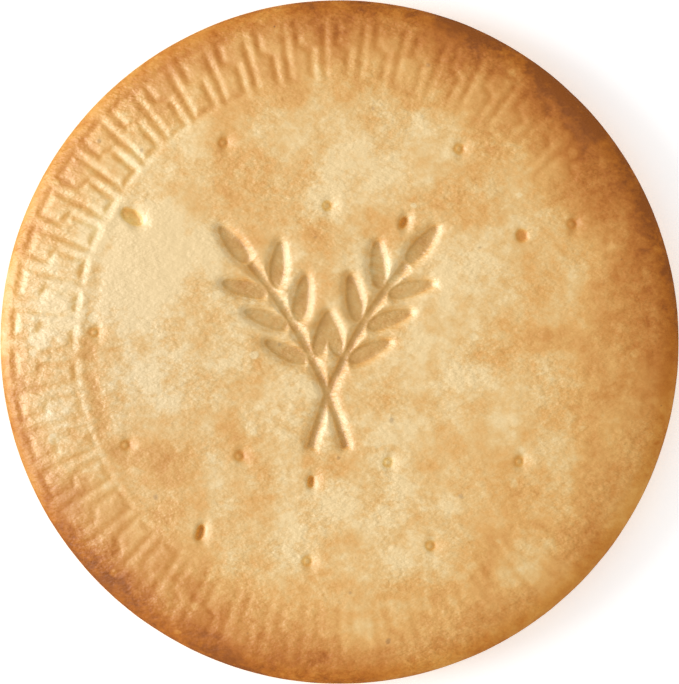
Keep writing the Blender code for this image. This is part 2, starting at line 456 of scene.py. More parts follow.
@dataclass(frozen=True)
class DiscForm:
    """The plain disc: an upper face that falls away evenly from its middle to the wall, and a small foot.

    Attributes:
        half_width: Half of its size along X.
        half_length: Half of its size along Y.
        thickness: Its height in the middle.
        wall_top: The height at which the wall ends and the upper face begins.
        dome_spread: How far out the face stays high; the higher, the flatter the middle.
        dome_turn: How suddenly it falls at the wall; the lower, the more suddenly.
        foot_radius: The rounding between the wall and the underside.
    """

    half_width: float
    half_length: float
    thickness: float
    wall_top: float = 2.9 * MM
    dome_spread: float = 3.0
    dome_turn: float = 0.25
    foot_radius: float = 0.8 * MM

    @classmethod
    def from_frame(cls) -> "DiscForm":
        """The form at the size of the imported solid."""
        low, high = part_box(NODE)
        return cls((high.x - low.x) / 2, (high.y - low.y) / 2, high.z - low.z)

    def upper_height(self, share: float) -> float:
        """Height of the upper face at a share of the disc's radius."""
        fall = max(0.0, 1.0 - share**self.dome_spread) ** self.dome_turn
        return self.wall_top + (self.thickness - self.wall_top) * fall

    def share_at(self, x: float, y: float) -> float:
        """The share of the radius at which a point lies."""
        return math.hypot(x / self.half_width, y / self.half_length)

    def share_term(self, writer: NodeWriter, x: Term, y: Term) -> Term:
        """The same share as a term of a node tree."""
        return writer.length(writer.joined(x / self.half_width, y / self.half_length, 0.0))

    def at(self, angle: float, share: float, height: float = 0.0) -> Vector:
        """The point at an angle, a share of the radius and a height."""
        step = heading(angle)
        return Vector((step.x * share * self.half_width, step.y * share * self.half_length, height))


# ---------------------------------------------------------------------------------------------------------
# The dies


class Mark(Enum):
    """Numbers that the press leaves on the crust, for its finish to read."""

    GROOVE_SHADE_AND_LIGHT = "browned"  # painted shade above 0, left of the groove; painted light below 0, right of it
    TROUGH = "trough"  # 1 in the trough inside the border
    WHEAT = "wheat"  # 1 on the floor of the wheat
    SMOOTH = "smooth"  # 1 on the slope that leads down to a deep pit
    PIT = "pit"  # how much browner a pit is than the crust


@dataclass(frozen=True)
class Spot:
    """Where each point of the blank lies, as terms of the press's tree.

    Attributes:
        x: How far to the right.
        y: How far up in plan.
        flat: Its place in plan, at height 0.
        share: The share of the disc's radius.
    """

    x: Term
    y: Term
    flat: Term
    share: Term


@dataclass(frozen=True)
class Relief:
    """What a die does to the dough.

    Attributes:
        sink: How far it sinks each point, below 0 where it lifts the point.
        marks: The marks that it leaves on the upper face.
    """

    sink: Term
    marks: dict[Mark, Term]


@dataclass(frozen=True)
class KeyBorder:
    """The Greek-key border: one line that turns back on itself in each of its repeats, all the way round.

    It is pressed hardest at the upper left and fades both ways round. On its facing side, the left, the
    ring's own lines are pressed as hard as the strokes across it, with a thin lip and a shallow trough inside
    them. Shade and light are painted beside the groove: browner a little to the left of its line, on the wall
    that faces away from the key light, and paler to the right, on the wall that faces it.
    """

    form: DiscForm

    # The line.
    repeats: int = 48
    start: float = math.radians(5.9)
    shift_left: float = 0.6 * MM
    outer_share: float = 0.936
    middle_share: float = 0.862
    middle_slant: float = 0.008
    inner_share: float = 0.762
    inner_leg: float = 0.635
    outer_leg: float = 0.345

    # Its groove.
    depth: float = 0.145 * MM
    floor: float = 0.02 * MM
    brim: float = 0.48 * MM
    brim_unevenness: Cloud = Cloud(1.8 * MM, 5.0, 0.5)
    wobble: Cloud = Cloud(0.95 * MM, 15.0, 0.32 * MM)
    pillow_share: float = 0.38
    pillow_reach: float = 0.75 * MM
    berm_height: float = 0.035 * MM
    berm_reach: float = 0.16 * MM

    # How hard it is pressed round the ring.
    press_centre: float = math.radians(-60.0)
    fade_clockwise: float = math.radians(66.0)
    fade_back: float = math.radians(62.0)
    fade_power: float = 1.5
    press_least: float = 0.22
    broad_unevenness: Cloud = Cloud(6.0 * MM, 3.0, 0.9)
    fine_unevenness: Cloud = Cloud(2.2 * MM, 4.0, 0.7)

    # The ring's own lines, and the facing side.
    outer_line: Span = (0.89, 0.935)
    outer_press: float = 0.6
    inner_line: Span = (0.755, 0.8)
    inner_press: float = 0.55
    facing_side: float = math.radians(-92.0)
    facing_fade: float = math.radians(34.0)
    facing_outer_press: float = 1.15
    facing_inner_press: float = 0.9

    # The lip and the trough.
    lip_share: float = 0.742
    lip_width: float = 0.012
    lip_height: float = 0.07 * MM
    lip_stray: Cloud = Cloud(2.6 * MM, 23.0, 0.012)
    lip_breaks: Cloud = Cloud(2.4 * MM, 25.0)
    lip_broken: Span = (-0.16, 0.2)
    trough_share: float = 0.715
    trough_width: float = 0.022
    trough_depth: float = 0.08 * MM

    # Painted shade left of the groove, on the wall away from the key light, and painted light right of it.
    painted_band_shift: float = 0.2 * MM
    painted_band_reach: float = 0.34 * MM
    painted_light_share: float = 0.65

    def stroke(self) -> list[tuple[float, float]]:
        """Corners of the line's one repeat.

        Returns:
            How far round the repeat each corner lies, and at which share of the radius.
        """
        return [
            (0.0, self.outer_share),
            (0.0, self.inner_share),
            (self.inner_leg, self.inner_share),
            (self.inner_leg, self.middle_share - self.middle_slant),
            (self.outer_leg, self.middle_share + self.middle_slant),
            (self.outer_leg, self.outer_share),
            (1.0, self.outer_share),
        ]

    def build_die(self, material: bpy.types.Material) -> bpy.types.Object:
        """Lay out the border's line: one stroke, repeated round the ring.

        Args:
            material: Any material; the die is only read for distances.

        Returns:
            An object that holds the line as edges at height 0.
        """
        corners = self.stroke()
        mesh = bpy.data.meshes.new("key_stroke")
        runs = [(number, number + 1) for number in range(len(corners) - 1)]
        mesh.from_pydata([(across, share, 0.0) for across, share in corners], runs, [])
        die = add_object("key_die", mesh)
        recipe = Recipe("key_die")
        repeats = recipe.count("Repeats", self.repeats)
        start = recipe.size("Start angle", self.start)
        radius = recipe.size("Disc radius", self.form.half_length)
        squeeze = recipe.size("Width to length", self.form.half_width / self.form.half_length)
        shift = recipe.size("Shift left", self.shift_left)
        pitch = math.tau / repeats
        across, share, _ = recipe.split(recipe.position())
        angle = across * pitch
        bent_x = recipe.math("SINE", angle) * share * radius
        bent_y = recipe.math("COSINE", angle) * share * radius
        stroke = recipe.placed(recipe.geometry, recipe.joined(bent_x, bent_y, 0.0))
        ring = recipe.term(recipe.node("GeometryNodePoints", {"Count": repeats}))
        turn = start + recipe.term(recipe.node("GeometryNodeInputIndex")) * pitch
        copies = {"Points": ring, "Instance": stroke, "Rotation": recipe.joined(0.0, 0.0, -turn)}
        round_line = recipe.real(recipe.term(recipe.node("GeometryNodeInstanceOnPoints", copies)))
        x, y, _ = recipe.split(recipe.position())
        line = recipe.placed(round_line, recipe.joined(x * squeeze - shift, y, 0.0))
        die.data = recipe.serve(line, material, die)
        return die

    def lines(self, die: bpy.types.Object) -> list[tuple[Vector, Vector]]:
        """The straight runs of the laid-out line."""
        points = [point.co.copy() for point in die.data.vertices]
        return [(points[first], points[last]) for first, last in (edge.vertices for edge in die.data.edges)]

    def strength(self, x: float, y: float) -> float:
        """How hard the border is pressed near a point, before any unevenness.

        Args:
            x: The point's place to the right.
            y: The point's place up in plan.

        Returns:
            The strength, from press_least to 1.
        """
        angle = math.atan2(x + self.shift_left, y)
        away = (angle - self.press_centre + math.pi) % math.tau - math.pi
        fade = self.fade_clockwise if away > 0.0 else self.fade_back
        fallen = math.exp(-(abs(away / fade) ** self.fade_power))
        return self.press_least + (1.0 - self.press_least) * fallen

    def _strength(self, recipe: Recipe, spot: Spot) -> Term:
        """The same strength as a term of the press's tree.

        Args:
            recipe: The press's tree.
            spot: Where each point lies.

        Returns:
            The strength, from press_least to 1.
        """
        angle = recipe.math("ARCTAN2", spot.x + self.shift_left, spot.y)
        away = recipe.math("WRAP", angle - self.press_centre, math.pi, -math.pi)
        clockwise = recipe.math("GREATER_THAN", away, 0.0)
        fade = recipe.blend(clockwise, self.fade_back, self.fade_clockwise)
        fallen = recipe.math("EXPONENT", -(recipe.math("ABSOLUTE", away / fade) ** self.fade_power))
        return self.press_least + (1.0 - self.press_least) * fallen

    def _facing(self, recipe: Recipe, spot: Spot) -> Term:
        """1 in the middle of the facing side, falling to 0 away from it."""
        away = recipe.math("ARCTAN2", spot.x, spot.y) - self.facing_side
        return recipe.hump(recipe.math("WRAP", away, math.pi, -math.pi), 0.0, self.facing_fade)

    def _bite(self, recipe: Recipe, spot: Spot, facing: Term) -> Term:
        """How hard the die bites: unevenly, and less on the ring's own lines away from the facing side.

        Args:
            recipe: The press's tree.
            spot: Where each point lies.
            facing: 1 on the facing side.

        Returns:
            The strength, from 0 up.
        """
        uneven = self.broad_unevenness.at(recipe, spot.flat) + self.fine_unevenness.at(recipe, spot.flat)
        outer = recipe.blend(facing, self.outer_press, self.facing_outer_press)
        inner = recipe.blend(facing, self.inner_press, self.facing_inner_press)
        strength = self._strength(recipe, spot) * (1.0 + uneven)
        strength = strength * recipe.step(spot.share, *self.outer_line, 1.0, outer)
        strength = strength * recipe.step(spot.share, *self.inner_line, inner, 1.0)
        return recipe.math("MAXIMUM", strength, 0.0)

    def _ring(self, recipe: Recipe, spot: Spot, facing: Term) -> tuple[Term, Term]:
        """The lip and the trough that run inside the border.

        Args:
            recipe: The press's tree.
            spot: Where each point lies.
            facing: 1 on the facing side.

        Returns:
            1 on the lip, which breaks off here and there, and 1 in the trough.
        """
        share = self.form.share_term(recipe, spot.x + self.shift_left, spot.y)
        share = share + self.lip_stray.at(recipe, spot.flat)
        whole = recipe.step(self.lip_breaks.at(recipe, spot.flat), *self.lip_broken)
        lip = recipe.hump(share, self.lip_share, self.lip_width) * facing * whole
        return lip, recipe.hump(share, self.trough_share, self.trough_width) * facing

    def _beside(self, recipe: Recipe, spot: Spot, die: Term, shift: float) -> Term:
        """1 along the line as it would lie a shift further left."""
        away = recipe.reach(Target.EDGES, die, recipe.joined(spot.x + shift, spot.y, 0.0))
        return recipe.hump(away, 0.0, self.painted_band_reach)

    def press(self, recipe: Recipe, spot: Spot, die: Term) -> Relief:
        """Press the line into the dough.

        Args:
            recipe: The press's tree.
            spot: Where each point lies.
            die: The laid-out line.

        Returns:
            The groove with the berm beside it, the lip and the trough.
        """
        facing = self._facing(recipe, spot)
        strength = self._bite(recipe, spot, facing)
        away = recipe.reach(Target.EDGES, die, spot.flat) + self.wobble.at(recipe, spot.flat)
        floor = recipe.size("Key floor half width", self.floor)
        uneven = 1.0 + self.brim_unevenness.at(recipe, spot.flat)
        brim = recipe.size("Key brim half width", self.brim) * uneven
        pillow = recipe.hump(away, 0.0, self.pillow_reach)
        groove = recipe.blend(self.pillow_share, recipe.wall(away, floor, brim), pillow) * strength
        berm = recipe.hump(away, brim + self.berm_reach, self.berm_reach) * strength
        lip, trough = self._ring(recipe, spot, facing)
        lifted = berm * self.berm_height + lip * self.lip_height - trough * self.trough_depth
        # Painted shade a little left of the line, where the groove's wall faces away from the key light, and
        # painted light a little right of it, where the wall faces the light.
        painted_shade_band = self._beside(recipe, spot, die, self.painted_band_shift)
        pale = self._beside(recipe, spot, die, -self.painted_band_shift)
        marks = {Mark.GROOVE_SHADE_AND_LIGHT: (painted_shade_band - self.painted_light_share * pale) * strength, Mark.TROUGH: trough}
        return Relief(groove * recipe.size("Key depth", self.depth) - lifted, marks)


class Side(Enum):
    """The two ears of wheat."""

    RIGHT = 1.0
    LEFT = -1.0


@dataclass(frozen=True)
class WheatMotif:
    """Two ears of wheat with crossed stalks, each the mirror of the other.

    A stalk starts at the foot, past the motif's middle line, and leans out more and more. Its grains sit in
    pairs from ear_start on, spread to both sides, with one more grain at the tip.
    """

    middle: Vector = field(default_factory=lambda: Vector((-1.1 * MM, 0.0, 0.0)))
    foot: Vector = field(default_factory=lambda: Vector((-1.6 * MM, -9.8 * MM, 0.0)))
    stalk_length: float = 19.4 * MM
    lean_foot: float = math.radians(15.0)
    lean_tip: float = math.radians(40.0)
    stalk_points: int = 33
    stalk_floor: float = 0.35 * MM
    ear_start: float = 8.2 * MM
    grain_pairs: int = 3
    spread: float = math.radians(40.0)
    grain_gap: float = 0.95 * MM
    tip_gap: float = 0.5 * MM
    grain_length: float = 4.1 * MM
    grain_width: float = 1.15 * MM
    grain_pinch: float = 0.3
    grain_points: int = 28
    depth: float = 0.48 * MM
    wall: float = 0.68 * MM
    slump: float = 0.12 * MM
    slump_reach: float = 0.95 * MM
    edge_unevenness: Cloud = Cloud(1.1 * MM, 19.0, 0.08 * MM)

    def stalk(self) -> list[Vector]:
        """The right-hand stalk, which leans further out the higher it is.

        Returns:
            Points along it, measured from the motif's middle.
        """
        place = self.foot.copy()
        steps = self.stalk_points - 1
        points = [place.copy()]
        for number in range(steps):
            lean = self.lean_foot + (self.lean_tip - self.lean_foot) * (number + 0.5) / steps
            place += heading(lean) * (self.stalk_length / steps)
            points.append(place.copy())
        return points

    def _stalk_guide(self) -> bpy.types.Object:
        """Lay the right-hand stalk.

        Returns:
            A helper object with the stalk as a curve.
        """
        curve = bpy.data.curves.new("wheat_stalk", "CURVE")
        curve.dimensions = "3D"
        spline = curve.splines.new("POLY")
        spline.points.add(self.stalk_points - 1)
        for slot, point in zip(spline.points, self.stalk()):
            slot.co = (*point, 1.0)
        return add_object("wheat_stalk", curve)

    def _grain(self, recipe: Recipe, gap: Term) -> Term:
        """One grain's floor, lying along +Y.

        Args:
            recipe: The die's tree.
            gap: How far the grain starts from its root at the origin.

        Returns:
            The floor as one face.
        """
        length = recipe.size("Grain length", self.grain_length)
        width = recipe.size("Grain width", self.grain_width)
        pinch = recipe.size("Grain pinch", self.grain_pinch)
        points = recipe.count("Grain points", self.grain_points)
        ring = recipe.node("GeometryNodeMeshCircle", {"Radius": 1.0, "Vertices": points}, fill_type="NGON")
        x, y, _ = recipe.split(recipe.position())
        along = gap + length * (y + 1.0) * 0.5
        across = x * width * 0.5 * (1.0 - pinch * y)
        return recipe.placed(recipe.term(ring), recipe.joined(across, along, 0.0))

    def _grains(self, recipe: Recipe, stalk: Term) -> list[Term]:
        """The grains of one ear.

        Args:
            recipe: The die's tree.
            stalk: The stalk's curve.

        Returns:
            The rows of grains on the stalk's two sides, and the grain at its tip.
        """
        start, end = recipe.size("Ear start", self.ear_start), recipe.size("Stalk length", self.stalk_length)
        # Trim Curve keeps the lengths of its ends at inputs 4 and 5.
        trimmed = recipe.node("GeometryNodeTrimCurve", {"Curve": stalk, 4: start, 5: end}, mode="LENGTH")
        pairs = recipe.count("Grain pairs", self.grain_pairs)
        ear = {"Curve": recipe.term(trimmed), "Count": pairs + 1}
        roots = recipe.node("GeometryNodeCurveToPoints", ear, mode="COUNT")
        along = {"Vector": recipe.term(roots, "Tangent")}
        aim = recipe.term(recipe.node("FunctionNodeAlignRotationToVector", along, axis="Y"))
        at_tip = recipe.math("COMPARE", recipe.term(recipe.node("GeometryNodeInputIndex")), pairs, 0.5)
        at_side = 1.0 - at_tip
        spread = recipe.size("Grain spread", self.spread)
        side_gap = recipe.size("Gap at the side", self.grain_gap)
        tip_gap = recipe.size("Gap at the tip", self.tip_gap)
        left, right, tip = (side_gap, -spread, at_side), (side_gap, spread, at_side), (tip_gap, 0.0, at_tip)
        rows = []
        for gap, turn, wanted in (left, right, tip):
            swing = {"Rotation": aim, "Rotate By": recipe.joined(0.0, 0.0, turn)}
            turned = recipe.node("FunctionNodeRotateRotation", swing, rotation_space="LOCAL")
            row = {"Points": recipe.term(roots, "Points"), "Selection": wanted}
            row |= {"Instance": self._grain(recipe, gap), "Rotation": recipe.term(turned)}
            rows.append(recipe.term(recipe.node("GeometryNodeInstanceOnPoints", row)))
        return rows

    def _ribbon(self, recipe: Recipe, stalk: Term) -> Term:
        """The stalk's floor.

        Args:
            recipe: The die's tree.
            stalk: The stalk's curve.

        Returns:
            A flat ribbon along the curve.
        """
        half = recipe.size("Stalk floor", self.stalk_floor) * 0.5
        ends = {"Start": recipe.joined(-half, 0.0, 0.0), "End": recipe.joined(half, 0.0, 0.0)}
        across = recipe.term(recipe.node("GeometryNodeCurvePrimitiveLine", ends))
        return recipe.term(recipe.node("GeometryNodeCurveToMesh", {"Curve": stalk, "Profile Curve": across}))

    def build_die(self, material: bpy.types.Material) -> bpy.types.Object:
        """Lay out the ears: a ribbon for each stalk, and grains in pairs along it.

        Args:
            material: Any material; the die is only read for distances.

        Returns:
            An object that holds the floors of all grains and stalks as flat faces at height 0.
        """
        guide = self._stalk_guide()
        die = add_object("wheat_die", bpy.data.meshes.new("wheat_die"))
        recipe = Recipe("wheat_die")
        stalk = recipe.guide("Stalk", guide)
        right = recipe.together([*self._grains(recipe, stalk), self._ribbon(recipe, stalk)])
        ears = []
        for side in Side:
            turned = {"Geometry": right, "Scale": (side.value, 1.0, 1.0), "Translation": self.middle}
            ears.append(recipe.term(recipe.node("GeometryNodeTransform", turned)))
        x, y, _ = recipe.split(recipe.position())
        floors = recipe.placed(recipe.real(recipe.together(ears)), recipe.joined(x, y, 0.0))
        die.data = recipe.serve(floors, material, die)
        drop_object(guide)
        return die

    def press(self, recipe: Recipe, spot: Spot, die: Term) -> Relief:
        """Press the ears into the dough.

        Args:
            recipe: The press's tree.
            spot: Where each point lies.
            die: The floors of the grains and stalks.

        Returns:
            The motif, with the dough slumped in round it.
        """
        away = recipe.reach(Target.FACES, die, spot.flat) + self.edge_unevenness.at(recipe, spot.flat)
        away = recipe.math("MAXIMUM", away, 0.0)
        pressed = recipe.wall(away, 0.0, recipe.size("Wheat wall", self.wall))
        slump = recipe.hump(away, 0.0, self.slump_reach) * self.slump
        return Relief(pressed * recipe.size("Wheat depth", self.depth) + slump, {Mark.WHEAT: pressed})


@dataclass(frozen=True)
class Pin:
    """One docking pin's pit.

    Attributes:
        x: Its middle, to the right.
        y: Its middle, up in plan.
        length: The length of its floor.
        width: The width of its floor.
        tilt: How far its length is turned from +Y.
        depth: How deep its floor lies.
        slope: How far the slope on its right leads down to it.
        nub: The height of the nub in its middle.
        stain: How much browner it is than the crust.
    """

    x: float
    y: float
    length: float
    width: float
    tilt: float
    depth: float
    slope: float
    nub: float
    stain: float


@dataclass(frozen=True)
class PinPits:
    """The pits of the docking pins: five open or half open, and eleven baked almost shut.

    The closed ones are alike. They are given by their middles, in millimetres.
    """

    open_pins: tuple[Pin, ...] = (
        Pin(-19.7 * MM, 11.9 * MM, 1.8 * MM, 0.85 * MM, math.radians(120.0), 0.3 * MM, 0.32 * MM, 0.0, 0.26),
        Pin(17.3 * MM, 10.1 * MM, 0.75 * MM, 0.7 * MM, 0.0, 0.15 * MM, 0.06 * MM, 0.0, 0.32),
        Pin(6.0 * MM, 11.3 * MM, 0.6 * MM, 0.16 * MM, math.radians(30.0), 0.45 * MM, 0.45 * MM, 0.0, 0.14),
        Pin(-2.7 * MM, -13.25 * MM, 0.6 * MM, 0.12 * MM, math.radians(8.0), 0.42 * MM, 0.34 * MM, 0.0, 0.22),
        Pin(-13.25 * MM, -18.1 * MM, 0.95 * MM, 0.22 * MM, math.radians(17.0), 0.5 * MM, 0.28 * MM, 0.0, 0.2),
    )
    closed_places: tuple[tuple[float, float], ...] = (
        (-11.0, 18.9), (11.3, 18.3), (-1.2, 12.9), (22.0, 11.1), (-23.3, 0.9), (-20.3, -9.8),
        (-9.5, -10.8), (4.6, -11.4), (17.0, -11.3), (8.6, -19.3), (-3.1, -20.8),
    )
    closed_size: float = 0.55 * MM
    closed_depth: float = 0.1 * MM
    closed_slope: float = 0.2 * MM
    closed_nub: float = 0.12 * MM
    closed_stain: float = 0.2
    wall: float = 0.44 * MM
    edge_unevenness: Cloud = Cloud(0.8 * MM, 17.0, 0.1 * MM)
    slope_reach: float = 1.25 * MM
    slope_turn: float = 0.55 * MM
    smooth_slope: float = 0.4 * MM
    nub_reach: float = 0.24 * MM
    oval_points: int = 24

    def pins(self) -> list[Pin]:
        """Every pin.

        Returns:
            The open ones, then the closed ones.
        """
        size, depth, slope = self.closed_size, self.closed_depth, self.closed_slope
        return list(self.open_pins) + [
            Pin(x * MM, y * MM, size, size, 0.0, depth, slope, self.closed_nub, self.closed_stain)
            for x, y in self.closed_places
        ]

    def build_die(self, material: bpy.types.Material) -> bpy.types.Object:
        """Lay out one oval floor for each pin, which carries the pin's own numbers.

        Args:
            material: Any material; the die is only read for distances.

        Returns:
            An object that holds the floors as flat faces at height 0.
        """
        pins = self.pins()
        mesh = bpy.data.meshes.new("pin_points")
        mesh.from_pydata([(pin.x, pin.y, 0.0) for pin in pins], [], [])
        for number in fields(Pin):
            values = mesh.attributes.new(number.name, "FLOAT", "POINT")
            values.data.foreach_set("value", [getattr(pin, number.name) for pin in pins])
        die = add_object("pin_die", mesh)
        recipe = Recipe("pin_die")
        points = recipe.count("Oval points", self.oval_points)
        oval = recipe.node("GeometryNodeMeshCircle", {"Radius": 0.5, "Vertices": points}, fill_type="NGON")
        copies = {"Points": recipe.geometry, "Instance": recipe.term(oval)}
        copies["Rotation"] = recipe.joined(0.0, 0.0, -recipe.stored("tilt"))
        copies["Scale"] = recipe.joined(recipe.stored("width"), recipe.stored("length"), 1.0)
        floors = recipe.term(recipe.node("GeometryNodeInstanceOnPoints", copies))
        die.data = recipe.serve(floors, material, die)
        return die

    def press(self, recipe: Recipe, spot: Spot, die: Term) -> Relief:
        """Press the pins into the dough.

        Args:
            recipe: The press's tree.
            spot: Where each point lies.
            die: The floors of the pits, with the pins' numbers on them.

        Returns:
            The pits, with the slopes that lead down to them and the nubs in the closed ones.
        """
        middle_x, middle_y, depth, slope, nub, stain = (
            recipe.nearest(die, name, spot.flat) for name in ("x", "y", "depth", "slope", "nub", "stain")
        )
        away = recipe.reach(Target.FACES, die, spot.flat) + self.edge_unevenness.at(recipe, spot.flat)
        away = recipe.math("MAXIMUM", away, 0.0)
        pit = recipe.step(away, 0.0, self.wall, 1.0, 0.0)
        to_right = recipe.step(spot.x - middle_x, -self.slope_turn, self.slope_turn)
        led_down = recipe.step(away, 0.0, self.slope_reach, 1.0, 0.0) * to_right
        from_middle = recipe.length(recipe.joined(spot.x - middle_x, spot.y - middle_y, 0.0))
        raised = recipe.hump(from_middle, 0.0, self.nub_reach)
        has_nub = recipe.math("GREATER_THAN", nub, 0.0)
        marks = {
            Mark.SMOOTH: led_down * recipe.step(slope, 0.0, self.smooth_slope),
            Mark.PIT: (pit - raised * has_nub) * stain,
        }
        return Relief(pit * depth + led_down * slope - raised * nub, marks)


# ---------------------------------------------------------------------------------------------------------
# The blank


@dataclass(frozen=True)
class Rows:
    """Rows of points that follow the edge of a die, in millimetres.

    Attributes:
        offsets: How far each row lies from the edge.
        step: How far apart its points lie.
        clear: How near to an earlier point a new one may lie.
    """

    offsets: tuple[float, ...]
    step: float
    clear: float


@dataclass(frozen=True)
class Spacing:
    """How the blank's points lie: in rows along the dies, and in an uneven triangular grid between them.

    Attributes:
        pit: The rows round a pin's pit.
        wheat: The rows round a grain or a stalk.
        key: The rows beside the border's line.
        faded_key: The same where the line is pressed no harder than faded_strength.
        faded_strength: How hard that is.
        field: The step of the grid.
        field_shake: How far its points are shaken out of place, as a share of the step.
        field_clear: How near to an earlier point they may lie, as a share of the step.
        rim_clear: How near to the rim any point may lie, as a share of its own clear distance.
        wall: How far apart the rings on the wall lie.
        underside: The step of the grid on the underside.
        underside_clear: How near to the foot its points may lie, as a share of that step.
    """

    pit: Rows = Rows((0.0, 0.11, 0.22, 0.33, -0.12, 0.5, 0.7), 0.1, 0.07)
    wheat: Rows = Rows((0.0, 0.13, 0.28, 0.45, -0.15, 0.66), 0.15, 0.09)
    key: Rows = Rows((0.0, 0.13, 0.26, 0.39, 0.52, 0.68), 0.19, 0.11)
    faded_key: Rows = Rows((0.0, 0.3, 0.6), 0.3, 0.2)
    faded_strength: float = 0.3
    field: float = 0.27 * MM
    field_shake: float = 0.22
    field_clear: float = 0.6
    rim_clear: float = 0.5
    wall: float = 0.34 * MM
    underside: float = 1.1 * MM
    underside_clear: float = 0.7


@dataclass
class Blank:
    """The disc of dough before pressing: a closed mesh, its points close together where a die will bite."""

    form: DiscForm
    key: KeyBorder
    spacing: Spacing = field(default_factory=Spacing)
    rim_share: float = 0.95
    rim_points: int = 720
    shoulder_rings: int = 14
    foot_rings: int = 4
    seed: int = 11

    def __post_init__(self) -> None:
        """Start with no points."""
        self._cell = self.spacing.field
        self._grid: dict[tuple[int, int], list[tuple[float, float]]] = {}
        self._points: list[tuple[float, float]] = []

    def _take(self, x: float, y: float, clear: float) -> None:
        """Take a point unless it lies too near to the rim or to a point taken before.

        Args:
            x: The point's place to the right.
            y: The point's place up in plan.
            clear: How near to an earlier point it may lie.
        """
        if self.form.share_at(x, y) > self.rim_share - self.spacing.rim_clear * clear / self.form.half_length:
            return
        column, row = int(x // self._cell), int(y // self._cell)
        for i in (column - 1, column, column + 1):
            for j in (row - 1, row, row + 1):
                for u, v in self._grid.get((i, j), ()):
                    if (u - x) ** 2 + (v - y) ** 2 < clear**2:
                        return
        self._grid.setdefault((column, row), []).append((x, y))
        self._points.append((x, y))

    def _along(self, start: Vector, end: Vector, rows: Rows, offsets: tuple[float, ...]) -> None:
        """Take points in rows beside a straight run.

        Args:
            start: Where the run starts.
            end: Where it ends.
            rows: How close the points lie.
            offsets: How far each row lies from the run, on both of its sides.
        """
        run = end - start
        count = max(1, round(run.length / (rows.step * MM)))
        across = Vector((run.y, -run.x, 0.0)).normalized()
        for offset in offsets:
            for side in (1.0, -1.0) if offset else (1.0,):
                for number in range(count + 1):
                    place = start + run * number / count + across * (offset * MM) * side
                    self._take(place.x, place.y, rows.clear * MM)

    def _key_points(self, die: bpy.types.Object) -> None:
        """Take rows of points beside the border's line, closer where it is pressed harder.

        Args:
            die: The border's line.
        """
        for start, end in self.key.lines(die):
            middle = (start + end) / 2
            hard = self.key.strength(middle.x, middle.y) > self.spacing.faded_strength
            rows = self.spacing.key if hard else self.spacing.faded_key
            self._along(start, end, rows, rows.offsets)

    def _outline_points(self, die: bpy.types.Object, rows: Rows) -> None:
        """Take rows of points round each face of a die.

        Args:
            die: The die.
            rows: How far outward from the face's edge they lie, and how close together.
        """
        points = die.data.vertices
        for face in die.data.polygons:
            ring = [points[number].co.copy() for number in face.vertices]
            middle = sum(ring, Vector()) / len(ring)
            for offset in rows.offsets:
                moved = []
                for before, here, after in zip(ring[-1:] + ring[:-1], ring, ring[1:] + ring[:1]):
                    run = after - before
                    out = Vector((run.y, -run.x, 0.0)).normalized()
                    if out.dot(here - middle) < 0.0:
                        out = -out
                    moved.append(here + out * (offset * MM))
                for start, end in zip(moved, moved[1:] + moved[:1]):
                    self._along(start, end, rows, (0.0,))

    def _field_points(self) -> None:
        """Fill the rest with the uneven triangular grid."""
        draw = np.random.default_rng(self.seed)
        step = self.spacing.field
        # Two rows and three columns more than fit reach past the rim on every side.
        rows = int(2 * self.form.half_length / (step * TRIANGLE_HEIGHT)) + 2
        columns = int(2 * self.form.half_width / step) + 3
        shake = draw.uniform(-self.spacing.field_shake, self.spacing.field_shake, (rows, columns, 2)) * step
        for row in range(rows):
            y = -self.form.half_length + row * step * TRIANGLE_HEIGHT
            for column in range(columns):
                x = -self.form.half_width + (column + 0.5 * (row % 2)) * step
                moved_x, moved_y = x + shake[row, column, 0], y + shake[row, column, 1]
                self._take(moved_x, moved_y, step * self.spacing.field_clear)

    def _wall_rings(self) -> list[tuple[float, float]]:
        """The rings of points from the rim over the shoulder, down the wall and round the foot.

        Returns:
            The share of the radius and the height of each ring.
        """
        form = self.form
        rings = []
        for number in range(1, self.shoulder_rings + 1):
            turn = math.pi / 2 * number / self.shoulder_rings
            share = self.rim_share + (1.0 - self.rim_share) * math.sin(turn)
            rings.append((share, form.upper_height(share)))
        levels = round((form.wall_top - form.foot_radius) / self.spacing.wall)
        for number in range(1, levels):
            rings.append((1.0, form.wall_top + (form.foot_radius - form.wall_top) * number / levels))
        for number in range(self.foot_rings + 1):
            turn = math.pi / 2 * number / self.foot_rings
            share = 1.0 - form.foot_radius * (1.0 - math.cos(turn)) / form.half_length
            rings.append((share, form.foot_radius * (1.0 - math.sin(turn))))
        return rings

    def _ring(self, share: float, height: float) -> list[Vector]:
        """The points of one ring round the disc."""
        return [self.form.at(math.tau * n / self.rim_points, share, height) for n in range(self.rim_points)]

    def _underside(self, share: float, first: int) -> tuple[list[Vector], list[tuple[int, ...]]]:
        """The flat underside inside the foot's last ring.

        Args:
            share: The share of the radius of that ring.
            first: The number of the ring's first point.

        Returns:
            The new points, and the faces, which look down.
        """
        form, step = self.form, self.spacing.underside
        inner = []
        rows = int(form.half_length / step) + 1
        for row in range(-rows, rows + 1):
            for column in range(-rows, rows + 1):
                x, y = (column + 0.5 * (row % 2)) * step, row * step * TRIANGLE_HEIGHT
                if form.share_at(x, y) < share - self.spacing.underside_clear * step / form.half_length:
                    inner.append(Vector((x, y, 0.0)))
        faces = triangles(self._ring(share, 0.0) + inner)
        return inner, [tuple(number + first for number in reversed(face)) for face in faces]

